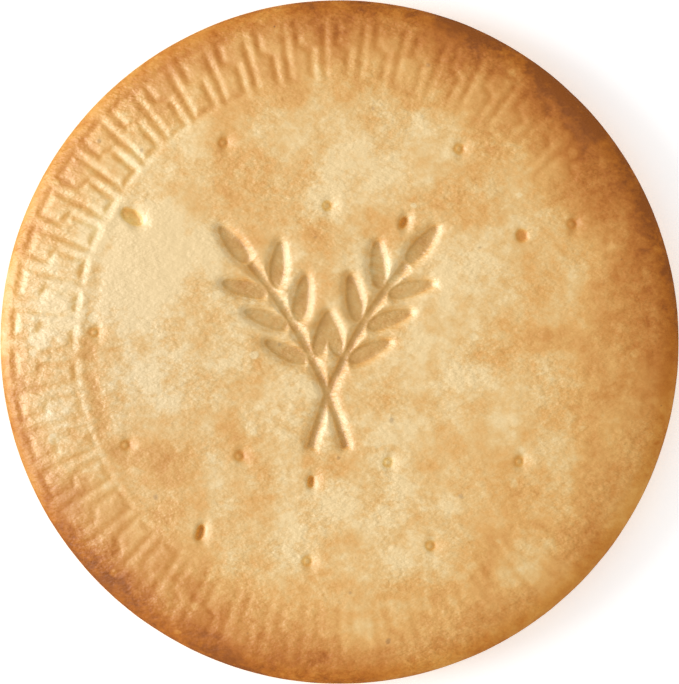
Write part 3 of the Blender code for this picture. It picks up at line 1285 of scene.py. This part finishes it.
    def build(
        self, key_die: bpy.types.Object, wheat_die: bpy.types.Object, pin_die: bpy.types.Object
    ) -> bpy.types.Object:
        """Cut the blank.

        Args:
            key_die: The border's line.
            wheat_die: The floors of the wheat.
            pin_die: The floors of the pins' pits.

        Returns:
            An object with a closed mesh, its faces pointing out.
        """
        self._outline_points(pin_die, self.spacing.pit)
        self._outline_points(wheat_die, self.spacing.wheat)
        self._key_points(key_die)
        self._field_points()
        form = self.form
        points = [Vector((x, y, form.upper_height(form.share_at(x, y)))) for x, y in self._points]
        last = len(points)
        points += self._ring(self.rim_share, form.upper_height(self.rim_share))
        faces = triangles(points)
        for share, height in self._wall_rings():
            first = len(points)
            points += self._ring(share, height)
            for n in range(self.rim_points):
                after = (n + 1) % self.rim_points
                faces.append((last + n, last + after, first + after, first + n))
            last = first
        inner, under = self._underside(share, last)
        points += inner
        faces += under
        mesh = bpy.data.meshes.new("biscuit_blank")
        mesh.from_pydata(points, [], faces)
        mesh.validate()
        mesh.shade_smooth()
        LOG.info("blank: %d points, %d faces", len(mesh.vertices), len(mesh.polygons))
        return add_object("biscuit_blank", mesh)


# ---------------------------------------------------------------------------------------------------------
# The press


@dataclass
class Press:
    """Sinks the dies into the blank and gives the dough its unevenness."""

    form: DiscForm
    key: KeyBorder
    wheat: WheatMotif
    pits: PinPits
    face_start: float = 0.7 * MM
    swell: Cloud = Cloud(9.0 * MM, 7.0, 0.26 * MM, detail=1.0)
    swell_edge: Span = (0.9, 1.0)
    lumps: Cloud = Cloud(2.2 * MM, 9.0, 0.07 * MM)
    wander: Cloud = Cloud(3.2 * MM, 1.0, 0.3 * MM)
    wander_edge: Span = (0.94, 0.985)
    rim_wear: Cloud = Cloud(5.0 * MM, 13.0, 0.1 * MM, detail=3.0)
    rim_wear_edge: Span = (0.97, 1.0)

    def _height(self, recipe: Recipe, spot: Spot, z: Term, upper: Term, reliefs: tuple[Relief, ...]) -> Term:
        """The height of each point after pressing, never above the biscuit's thickness.

        Args:
            recipe: The press's tree.
            spot: Where each point lies.
            z: Its height on the blank.
            upper: 1 on the upper face.
            reliefs: What the border's, the wheat's and the pins' die do.

        Returns:
            The new height.
        """
        border, ears, pins = reliefs
        sink = recipe.math("MAXIMUM", ears.sink, pins.sink) + border.sink
        swell = self.swell.at(recipe, spot.flat) * recipe.step(spot.share, *self.swell_edge, 1.0, 0.0)
        height = z + upper * (swell + self.lumps.at(recipe, spot.flat) - sink)
        return recipe.math("MINIMUM", height, recipe.blend(upper, z, self.form.thickness))

    def _plan(self, recipe: Recipe, spot: Spot, place: Term, upper: Term) -> tuple[Term, Term]:
        """Where each point lies in plan after pressing: a little astray, and worn inward at the rim.

        Args:
            recipe: The press's tree.
            spot: Where each point lies.
            place: The same with its height.
            upper: 1 on the upper face.

        Returns:
            Its new x and y.
        """
        settled = recipe.step(spot.share, *self.wander_edge, 1.0, 0.0) * upper
        stray_x, stray_y, _ = recipe.split(self.wander.push(recipe, spot.flat, settled))
        worn = (self.rim_wear.at(recipe, place) - 0.5 * self.rim_wear.gain) / self.form.half_width
        narrower = 1.0 + worn * recipe.step(spot.share, *self.rim_wear_edge)
        return spot.x * narrower + stray_x, spot.y * narrower + stray_y

    def run(
        self,
        blank: bpy.types.Object,
        dies: tuple[bpy.types.Object, bpy.types.Object, bpy.types.Object],
        material: bpy.types.Material,
    ) -> bpy.types.Object:
        """Press the blank.

        Args:
            blank: The blank, which is used up.
            dies: The border's, the wheat's and the pins' die, which are used up.
            material: The crust's material.

        Returns:
            The finished biscuit.
        """
        recipe = Recipe("press")
        place = recipe.position()
        x, y, z = recipe.split(place)
        spot = Spot(x, y, recipe.joined(x, y, 0.0), self.form.share_term(recipe, x, y))
        upper = recipe.step(z, self.form.wall_top, self.form.wall_top + self.face_start)
        reliefs = tuple(
            maker.press(recipe, spot, recipe.guide(die.name, die))
            for maker, die in zip((self.key, self.wheat, self.pits), dies)
        )
        geometry = recipe.geometry
        for relief in reliefs:
            for mark, value in relief.marks.items():
                geometry = recipe.kept(geometry, mark.value, value * upper)
        height = self._height(recipe, spot, z, upper, reliefs)
        moved = recipe.joined(*self._plan(recipe, spot, place, upper), height)
        biscuit = add_object("marie_biscuit", recipe.serve(recipe.placed(geometry, moved), material, blank))
        biscuit.data.name = "marie_biscuit"
        biscuit.data.shade_smooth()
        for thing in (blank, *dies):
            drop_object(thing)
        return biscuit


# ---------------------------------------------------------------------------------------------------------
# The finish


@dataclass(frozen=True)
class Patch:
    """A broad patch that is browner (above 0) or paler (below 0), its place and reach in millimetres."""

    x: float
    y: float
    reach: float
    amount: float


@dataclass(frozen=True)
class Dots:
    """Small ragged dots, strewn one to a cell.

    Attributes:
        cell: How far apart they lie.
        reach: Their size, as a share of a cell.
        empty: The share of cells without one.
        seed: Any number, for dots of their own.
        amount: How strong they are.
        ragged_size: The size of the notches in their edges, as a share of a cell.
        ragged_push: How deep the notches are, as a share of a cell.
        least_size: How small the smallest dot is beside a middling one.
        soft_edge: Where a dot's edge ends, beside where it starts.
        cut: How sharply a cell is either empty or not.
    """

    cell: float
    reach: float
    empty: float
    seed: float
    amount: float
    ragged_size: float = 0.4
    ragged_push: float = 0.3
    least_size: float = 0.5
    soft_edge: float = 2.0
    cut: float = 0.02

    def at(self, crust: NodeWriter, place: Term) -> Term:
        """The dots at each place.

        Args:
            crust: The material's writer.
            place: Where to read them.

        Returns:
            The amount in a dot, and 0 between them.
        """
        ragged = Cloud(self.ragged_size * self.cell, self.seed, self.ragged_push * self.cell)
        inputs = {"Vector": crust.vector("ADD", place, ragged.push(crust, place))}
        inputs |= {"W": self.seed, "Scale": 1.0 / self.cell}
        cells = crust.node("ShaderNodeTexVoronoi", inputs, voronoi_dimensions="4D")
        draw, size, _ = crust.split(crust.term(cells, "Color"))
        wanted = crust.step(draw, self.empty, self.empty + self.cut)
        edge = self.reach * (self.least_size + size)
        dot = crust.step(crust.term(cells, "Distance"), edge, edge * self.soft_edge, 1.0, 0.0)
        return dot * wanted * self.amount


@dataclass(frozen=True)
class Disc:
    """A round soft region of the face: its middle and how far it reaches."""

    x: float
    y: float
    reach: float

    def at(self, crust: NodeWriter, place: Term) -> Term:
        """1 in the middle of the region, falling to 0 round it."""
        x, y, _ = crust.split(place)
        return crust.hump(crust.length(crust.joined(x - self.x, y - self.y, 0.0)), 0.0, self.reach)


@dataclass(frozen=True)
class CrustFinish:
    """Golden baked crust: pale in the middle, browner at the rim, mottled, wrinkled and faintly glossy."""

    form: DiscForm

    # Colours, from least to most baked, and what tints them, painted shade and light among the tints.
    shades: tuple[tuple[float, tuple[float, float, float]], ...] = (
        (0.0, (0.88, 0.63, 0.29)),
        (0.14, (0.81, 0.5, 0.166)),
        (0.3, (0.78, 0.395, 0.08)),
        (0.5, (0.68, 0.285, 0.036)),
        (0.7, (0.57, 0.195, 0.017)),
        (0.85, (0.46, 0.135, 0.009)),
        (1.0, (0.31, 0.085, 0.008)),
    )
    # Painted shade on the wheat's floors, darkened as if they lay in shade.
    wheat_floor_painted_shade: Colour = (0.84, 0.9, 0.92, 1.0)
    wheat_floor: Span = (0.6, 1.0)
    # Painted shade on the groove's wall away from the key light.
    groove_painted_shade: Colour = (1.0, 0.97, 0.8, 1.0)
    groove_painted_shade_span: Span = (0.0, 0.8)
    pit_shade: Colour = (1.03, 0.96, 0.62, 1.0)
    pit_brown: Span = (0.0, 0.16)
    # Painted light on the side that faces the key light: less red and bluer there.
    lit_side: Disc = Disc(-28.0 * MM, -8.0 * MM, 16.0 * MM)
    lit_side_painted_tint: Colour = (0.95, 1.0, 1.17, 1.0)
    bran_shade: Colour = (0.12, 0.045, 0.015, 1.0)
    bran: Dots = Dots(1.7 * MM, 0.075, 0.5, 61.0, 0.3)
    dark_bran: Dots = Dots(4.42 * MM, 0.045, 0.5, 63.0, 0.7)

    # How brown the crust is, from 0 to 1.
    least_baked: float = 0.14
    rim_start: float = 0.62
    rim_power: float = 1.6
    rim_gain: float = 0.55
    hot_side: float = math.radians(82.0)
    hot_side_gain: float = 0.55
    hot_ends: float = math.radians(30.0)
    hot_ends_gain: float = 0.45
    edge: Span = (0.88, 0.98)
    edge_gain: float = 0.2
    wheat_sides: Span = (0.5, 1.0)
    wheat_stain: float = 0.2
    # How much painted shade and light the groove's mark adds.
    groove_shade_and_light_gain: float = 0.24
    # Painted shade in the trough inside the border.
    trough_painted_shade: float = 0.14
    wall_heights: Span = (0.5 * MM, 4.2 * MM)
    wall_baked: float = 0.34
    wall_mottle: float = 0.6

    # Where it is browner or paler than its surroundings.
    clouds: tuple[Cloud, ...] = (
        Cloud(6.5 * MM, 31.0, 0.72),
        Cloud(2.6 * MM, 32.0, 0.55),
        Cloud(0.95 * MM, 33.0, 0.29),
    )
    flecks: Dots = Dots(1.9 * MM, 0.13, 0.55, 51.0, 0.2)
    mottle_edge: Span = (0.7, 1.0)
    mottle_rim: float = 0.9
    patch_wander: Cloud = Cloud(5.0 * MM, 47.0, 5.0 * MM)
    patches: tuple[Patch, ...] = (
        Patch(-20.3, 7.2, 5.5, -0.36), Patch(-28.5, 3.0, 5.5, -0.16), Patch(-26.5, -9.5, 5.5, -0.15),
        Patch(-18.0, -3.6, 3.5, -0.12), Patch(-14.3, -5.8, 3.0, 0.12), Patch(-18.0, -13.5, 5.0, 0.17),
        Patch(-22.6, -0.5, 3.0, 0.08), Patch(14.0, 15.5, 5.0, 0.18), Patch(-18.6, 15.6, 3.5, -0.1),
        Patch(-21.5, 22.5, 4.0, 0.06), Patch(-10.3, 26.6, 3.5, 0.14), Patch(-24.0, -21.5, 7.5, 0.12),
        Patch(-14.0, -28.4, 6.5, 0.12), Patch(11.0, 6.4, 5.5, -0.15), Patch(0.0, 15.9, 4.0, -0.1),
        Patch(6.0, 25.5, 5.5, -0.09), Patch(14.0, 20.5, 5.0, -0.09), Patch(20.5, 0.5, 5.0, 0.22),
        Patch(28.0, -4.5, 5.0, -0.02), Patch(25.5, -10.0, 5.5, -0.07), Patch(23.5, -19.5, 4.5, -0.09),
        Patch(14.5, -14.5, 5.0, 0.07), Patch(-10.3, 10.6, 4.0, 0.08), Patch(10.5, -25.6, 8.0, -0.06),
        Patch(-23.5, 14.5, 5.0, 0.06), Patch(3.7, 21.4, 4.0, 0.06), Patch(-4.0, 23.5, 3.5, 0.08),
        Patch(4.5, -28.5, 4.5, -0.04), Patch(4.0, -21.5, 4.5, -0.08), Patch(20.0, -22.0, 4.5, -0.05),
        Patch(-30.5, -11.0, 4.0, 0.07), Patch(-31.0, 11.5, 3.5, 0.06), Patch(-31.5, 0.0, 4.5, -0.17),
        Patch(31.5, 0.0, 4.0, 0.08), Patch(16.5, 28.0, 4.0, -0.12), Patch(-23.5, 0.5, 3.5, 0.1),
        Patch(-25.0, 9.0, 3.5, 0.1), Patch(-24.8, 20.8, 3.5, -0.03), Patch(20.5, 17.0, 4.0, -0.08),
        Patch(5.0, 28.5, 3.5, -0.07), Patch(19.5, -16.5, 3.5, 0.07), Patch(-24.5, -20.5, 3.5, -0.09),
        Patch(11.0, -29.5, 4.0, -0.06), Patch(-19.0, 6.0, 3.2, -0.1), Patch(13.5, -23.5, 3.5, 0.09),
        Patch(-12.0, 21.0, 3.0, 0.05), Patch(-21.0, 17.5, 4.0, 0.05), Patch(1.0, 30.5, 4.0, 0.06),
    )

    # Wrinkles and clumps, and how lively they are.
    fibre_turn: float = math.radians(35.0)
    fibre_stretch: float = 0.6
    fibres: Cloud = Cloud(0.24 * MM, 41.0)
    fibre_height: float = 0.07 * MM
    fibre_stain: float = 0.24
    clumps: Cloud = Cloud(0.62 * MM, 43.0, rough=0.6)
    clump_height: float = 0.16 * MM
    clump_stain: float = 0.34
    liveliness: Cloud = Cloud(6.0 * MM, 45.0, detail=1.0)
    calm_to_lively: Span = (-0.25, 0.25)
    calm: float = 0.45
    lively: float = 1.35
    border_edge: Span = (0.72, 0.82)
    border_lively: float = 0.9
    rim_edge: Span = (0.83, 0.96)
    rim_lively: float = 1.35
    torn: Disc = Disc(-29.5 * MM, -1.0 * MM, 11.0 * MM)
    torn_lively: float = 1.35
    smoothed: float = 0.75

    # Gloss.
    roughness: float = 0.58
    rough_unevenness: Cloud = Cloud(2.5 * MM, 21.0, 0.18, detail=3.0)
    gloss_index: float = 1.45
    rim_gloss_edge: Span = (0.92, 1.0)
    rim_gloss: float = 0.42
    dark_gloss_bake: Span = (0.3, 0.9)
    dark_gloss: float = 0.4

    def build(self) -> bpy.types.Material:
        """Write the material.

        Returns:
            A material that reads Object coordinates and the marks that the press left.
        """
        material = bpy.data.materials.new("baked_crust")
        material.use_nodes = True
        material.node_tree.nodes.clear()
        crust = NodeWriter(material.node_tree)
        place = crust.term(crust.node("ShaderNodeTexCoord"), "Object")
        x, y, _ = crust.split(place)
        share = self.form.share_term(crust, x, y)
        drawn = self._drawn(crust, place)
        lively = self._lively(crust, place, share)
        bake = self._bake(crust, place, share, self._mottle(crust, place, drawn, lively))
        shader = crust.node("ShaderNodeBsdfPrincipled", {"Base Color": self._colour(crust, place, bake)})
        rim_gloss = crust.step(share, *self.rim_gloss_edge, 1.0, self.rim_gloss)
        gloss = rim_gloss * crust.step(bake, *self.dark_gloss_bake, 1.0, self.dark_gloss)
        crust.feed(shader.inputs["Specular IOR Level"], gloss)
        shader.inputs["IOR"].default_value = self.gloss_index
        crust.feed(shader.inputs["Roughness"], self.roughness + self.rough_unevenness.at(crust, place))
        crust.feed(shader.inputs["Normal"], self._grain(crust, drawn, lively))
        ending = crust.node("ShaderNodeOutputMaterial")
        crust.tree.links.new(shader.outputs[0], ending.inputs["Surface"])
        return material

    def _mark(self, crust: NodeWriter, mark: Mark) -> Term:
        """A mark that the press left."""
        return crust.term(crust.node("ShaderNodeAttribute", attribute_name=mark.value), "Fac")

    def _drawn(self, crust: NodeWriter, place: Term) -> Term:
        """Coordinates drawn out along the dough's fibres, which run from upper left to lower right.

        Args:
            crust: The material's writer.
            place: The place on the crust.

        Returns:
            The turned and drawn place.
        """
        turn, stretch = (0.0, 0.0, self.fibre_turn), (self.fibre_stretch, 1.0, 1.0)
        inputs = {"Vector": place, "Rotation": turn, "Scale": stretch}
        return crust.term(crust.node("ShaderNodeMapping", inputs))

    def _lively(self, crust: NodeWriter, place: Term, share: Term) -> Term:
        """How strongly the crust is wrinkled: unevenly, and most at the rim and where the die tore it.

        Args:
            crust: The material's writer.
            place: The place on the crust.
            share: The share of the radius at which it lies.

        Returns:
            The strength, about 1.
        """
        uneven = self.liveliness.at(crust, place)
        uneven = crust.step(uneven, *self.calm_to_lively, self.calm, self.lively)
        border = crust.step(share, *self.border_edge, 1.0, self.border_lively)
        rim = crust.step(share, *self.rim_edge, 1.0, self.rim_lively)
        return crust.blend(self.torn.at(crust, place), uneven * (border * rim), self.torn_lively)

    def _mottle(self, crust: NodeWriter, place: Term, drawn: Term, lively: Term) -> Term:
        """How much browner or paler than its surroundings the crust is at each place.

        Args:
            crust: The material's writer.
            place: The place on the crust.
            drawn: The same along the dough's fibres.
            lively: How strongly the crust is wrinkled there.

        Returns:
            The difference, round 0.
        """
        mottle = sum(cloud.at(crust, place) for cloud in self.clouds)
        mottle = mottle + lively * self.fibre_stain * self.fibres.at(crust, drawn)
        mottle = mottle + lively * self.clump_stain * self.clumps.at(crust, drawn)
        return mottle - lively * self.flecks.at(crust, place) * (1.0 - self._mark(crust, Mark.WHEAT))

    def _bake(self, crust: NodeWriter, place: Term, share: Term, mottle: Term) -> Term:
        """How brown the crust is at each place.

        Args:
            crust: The material's writer.
            place: The place on the crust.
            share: The share of the radius at which it lies.
            mottle: How much browner or paler than its surroundings it is.

        Returns:
            The brownness, from 0 to 1.
        """
        x, y, z = crust.split(place)
        mottle = mottle * crust.step(share, *self.mottle_edge, 1.0, self.mottle_rim)
        angle = crust.math("ARCTAN2", x, y)
        to_hot_side = crust.math("COSINE", angle - self.hot_side)
        uneven = 1.0 + self.hot_side_gain * to_hot_side
        uneven = uneven + self.hot_ends_gain * crust.math("COSINE", (angle - self.hot_ends) * 2.0)
        out = crust.math("MAXIMUM", (share - self.rim_start) / (1.0 - self.rim_start), 0.0)
        bake = self.least_baked + self.rim_gain * out**self.rim_power * uneven
        cool_edge = (0.5 - 0.5 * to_hot_side) ** 2.0
        bake = bake + self.edge_gain * crust.step(share, *self.edge) * cool_edge
        bake = bake + self._patches(crust, place) + mottle
        # Painted shade left of the border's groove and painted light right of it.
        bake = bake + self.groove_shade_and_light_gain * self._mark(crust, Mark.GROOVE_SHADE_AND_LIGHT)
        bake = bake + self.wheat_stain * crust.step(self._mark(crust, Mark.WHEAT), *self.wheat_sides)
        # Painted shade in the trough inside the border; the pits' own stain.
        bake = bake + self.trough_painted_shade * self._mark(crust, Mark.TROUGH) + self._mark(crust, Mark.PIT)
        wall = crust.step(z, *self.wall_heights, 1.0, 0.0)
        return crust.blend(wall, bake, self.wall_baked + self.wall_mottle * mottle)

    def _patches(self, crust: NodeWriter, place: Term) -> Term:
        """The broad patches, with ragged edges.

        Args:
            crust: The material's writer.
            place: The place on the crust.

        Returns:
            How much browner they make the crust.
        """
        ragged = crust.vector("ADD", place, self.patch_wander.push(crust, place))
        discs = ((Disc(patch.x * MM, patch.y * MM, patch.reach * MM), patch.amount) for patch in self.patches)
        return sum(amount * disc.at(crust, ragged) for disc, amount in discs)

    def _tinted(self, crust: NodeWriter, colour: Term, share: Term, shade: Colour) -> Term:
        """The colour with as much of a shade multiplied in as the share says."""
        return crust.blend_colour(share, colour, shade, "MULTIPLY")

    def _colour(self, crust: NodeWriter, place: Term, bake: Term) -> Term:
        """The crust's colour.

        Args:
            crust: The material's writer.
            place: The place on the crust.
            bake: How brown the crust is there.

        Returns:
            The colour, with painted shade on the wheat's floors and beside the border's groove, painted light
            on the side that faces the key light, a tint in the pits, and with dots of bran.
        """
        ramp = crust.node("ShaderNodeValToRGB", {"Fac": bake})
        stops = ramp.color_ramp.elements
        for number, (at, shade) in enumerate(self.shades):
            stop = stops[number] if number < len(stops) else stops.new(at)
            stop.position = at
            stop.color = (*shade, 1.0)
        wheat = crust.step(self._mark(crust, Mark.WHEAT), *self.wheat_floor)
        groove = crust.step(self._mark(crust, Mark.GROOVE_SHADE_AND_LIGHT), *self.groove_painted_shade_span)
        pit = crust.step(self._mark(crust, Mark.PIT), *self.pit_brown)
        # Painted shade on the wheat's floors.
        colour = self._tinted(crust, crust.term(ramp), wheat, self.wheat_floor_painted_shade)
        # Painted light on the side that faces the key light.
        colour = self._tinted(crust, colour, self.lit_side.at(crust, place), self.lit_side_painted_tint)
        # Painted shade on the groove's wall away from the key light.
        colour = self._tinted(crust, colour, groove, self.groove_painted_shade)
        colour = self._tinted(crust, colour, pit, self.pit_shade)
        for dots in (self.bran, self.dark_bran):
            colour = crust.blend_colour(dots.at(crust, place), colour, self.bran_shade)
        return colour

    def _grain(self, crust: NodeWriter, drawn: Term, lively: Term) -> Term:
        """The fine wrinkles and clumps of the crust, as a bump.

        Args:
            crust: The material's writer.
            drawn: The place along the dough's fibres.
            lively: How strongly the crust is wrinkled there.

        Returns:
            The bumped normal.
        """
        fine = self.fibres.at(crust, drawn) * self.fibre_height
        clumps = self.clumps.at(crust, drawn) * self.clump_height
        smooth = 1.0 - self.smoothed * self._mark(crust, Mark.SMOOTH)
        height = lively * smooth * (fine - clumps)
        return crust.term(crust.node("ShaderNodeBump", {"Height": height, "Strength": 1.0, "Distance": 1.0}))


# ---------------------------------------------------------------------------------------------------------
# The studio


@dataclass
class Studio:
    """A pale floor, a soft key light from the left, soft light from all round, and a camera straight above.

    The shine card hangs where the key light does. It lights no dough, and only lends the crust its sheen.
    """

    form: DiscForm
    lens: float = 300.0
    sensor: float = 36.0
    near: float = 0.01
    floor_size: float = 3.0
    floor_colour: Colour = (0.94, 0.94, 0.94, 1.0)
    floor_roughness: float = 0.9
    floor_glow: float = 0.3
    floor_gap: float = 0.02 * MM
    key_azimuth: float = math.radians(-90.0)
    key_height: float = math.radians(24.0)
    key_distance: float = 1.5
    key_size: float = 1.0
    key_power: float = 15.5
    key_colour: tuple[float, float, float] = (1.0, 1.0, 1.0)
    shine_width: float = 1.5
    shine_power: float = 55.0
    shine_colour: tuple[float, float, float] = (0.99, 1.0, 1.0)
    sky_strength: float = 0.778
    sky_colour: Colour = (1.0, 1.0, 1.0, 1.0)

    def build_floor(self) -> bpy.types.Object:
        """Lay the floor just under the biscuit.

        Returns:
            The floor, which belongs to the stage.
        """
        half = self.floor_size / 2
        mesh = bpy.data.meshes.new("floor")
        corners = [(-half, -half), (half, -half), (half, half), (-half, half)]
        mesh.from_pydata([(x, y, -self.floor_gap) for x, y in corners], [], [(0, 1, 2, 3)])
        material = bpy.data.materials.new("pale_floor")
        material.use_nodes = True
        shader = material.node_tree.nodes["Principled BSDF"]
        shader.inputs["Base Color"].default_value = self.floor_colour
        shader.inputs["Roughness"].default_value = self.floor_roughness
        shader.inputs["Emission Color"].default_value = self.floor_colour
        shader.inputs["Emission Strength"].default_value = self.floor_glow
        mesh.materials.append(material)
        floor = add_object("floor", mesh)
        floor.visible_glossy = False  # the sheen comes from the shine card alone
        return floor

    def _hang(
        self, name: str, width: float, power: float, colour: tuple[float, float, float]
    ) -> bpy.types.Object:
        """Hang an oval soft light on the key side, turned to the biscuit.

        Args:
            name: The light's name.
            width: How wide the oval is.
            power: How strong the light is.
            colour: Its colour.

        Returns:
            The light.
        """
        lamp = bpy.data.lights.new(name, "AREA")
        lamp.shape = "ELLIPSE"
        lamp.size = width
        lamp.size_y = self.key_size
        lamp.energy = power
        lamp.color = colour
        light = add_object(name, lamp)
        aim = heading(self.key_azimuth) * math.cos(self.key_height)
        aim.z = math.sin(self.key_height)
        light.location = aim * self.key_distance
        light.rotation_mode = "QUATERNION"
        light.rotation_quaternion = aim.to_track_quat("Z", "Y")
        return light

    def build_light(self) -> None:
        """Hang the key light, and set the soft light all round."""
        self._hang("key_light", self.key_size, self.key_power, self.key_colour)
        shine = self._hang("shine_card", self.shine_width, self.shine_power, self.shine_colour)
        shine.visible_diffuse = False
        world = bpy.data.worlds.new("sky")
        world.use_nodes = True
        sky = world.node_tree.nodes["Background"]
        sky.inputs["Color"].default_value = self.sky_colour
        sky.inputs["Strength"].default_value = self.sky_strength
        world.cycles_visibility.glossy = False
        bpy.context.scene.world = world

    def build_camera(self) -> bpy.types.Object:
        """Set the camera straight above, so that the disc's length just fills the picture's height.

        Returns:
            The camera.
        """
        data = bpy.data.cameras.new("camera")
        data.lens = self.lens
        data.sensor_width = self.sensor
        data.clip_start = self.near
        camera = add_object("camera", data)
        distance = self.form.half_length * self.lens / (self.sensor / 2)
        camera.location = (0.0, 0.0, self.form.wall_top + distance)
        bpy.context.scene.camera = camera
        bpy.context.scene.view_settings.view_transform = "Standard"
        return camera


def main() -> None:
    """Build the biscuit and its studio in order."""
    logging.basicConfig(level=logging.INFO, format="%(name)s: %(message)s")
    form = DiscForm.from_frame()
    key, wheat, pits = KeyBorder(form), WheatMotif(), PinPits()
    crust = CrustFinish(form).build()
    dies = (key.build_die(crust), wheat.build_die(crust), pits.build_die(crust))
    for die in dies:
        LOG.info("%s: %d points", die.name, len(die.data.vertices))
    blank = Blank(form, key).build(*dies)
    biscuit = Press(form, key, wheat, pits).run(blank, dies, crust)
    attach(biscuit, "root")
    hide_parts(NODE)
    LOG.info("%s: %d triangles", biscuit.name, sum(len(face.vertices) - 2 for face in biscuit.data.polygons))
    studio = Studio(form)
    studio.build_floor()
    studio.build_light()
    studio.build_camera()


if __name__ == "__main__":
    main()
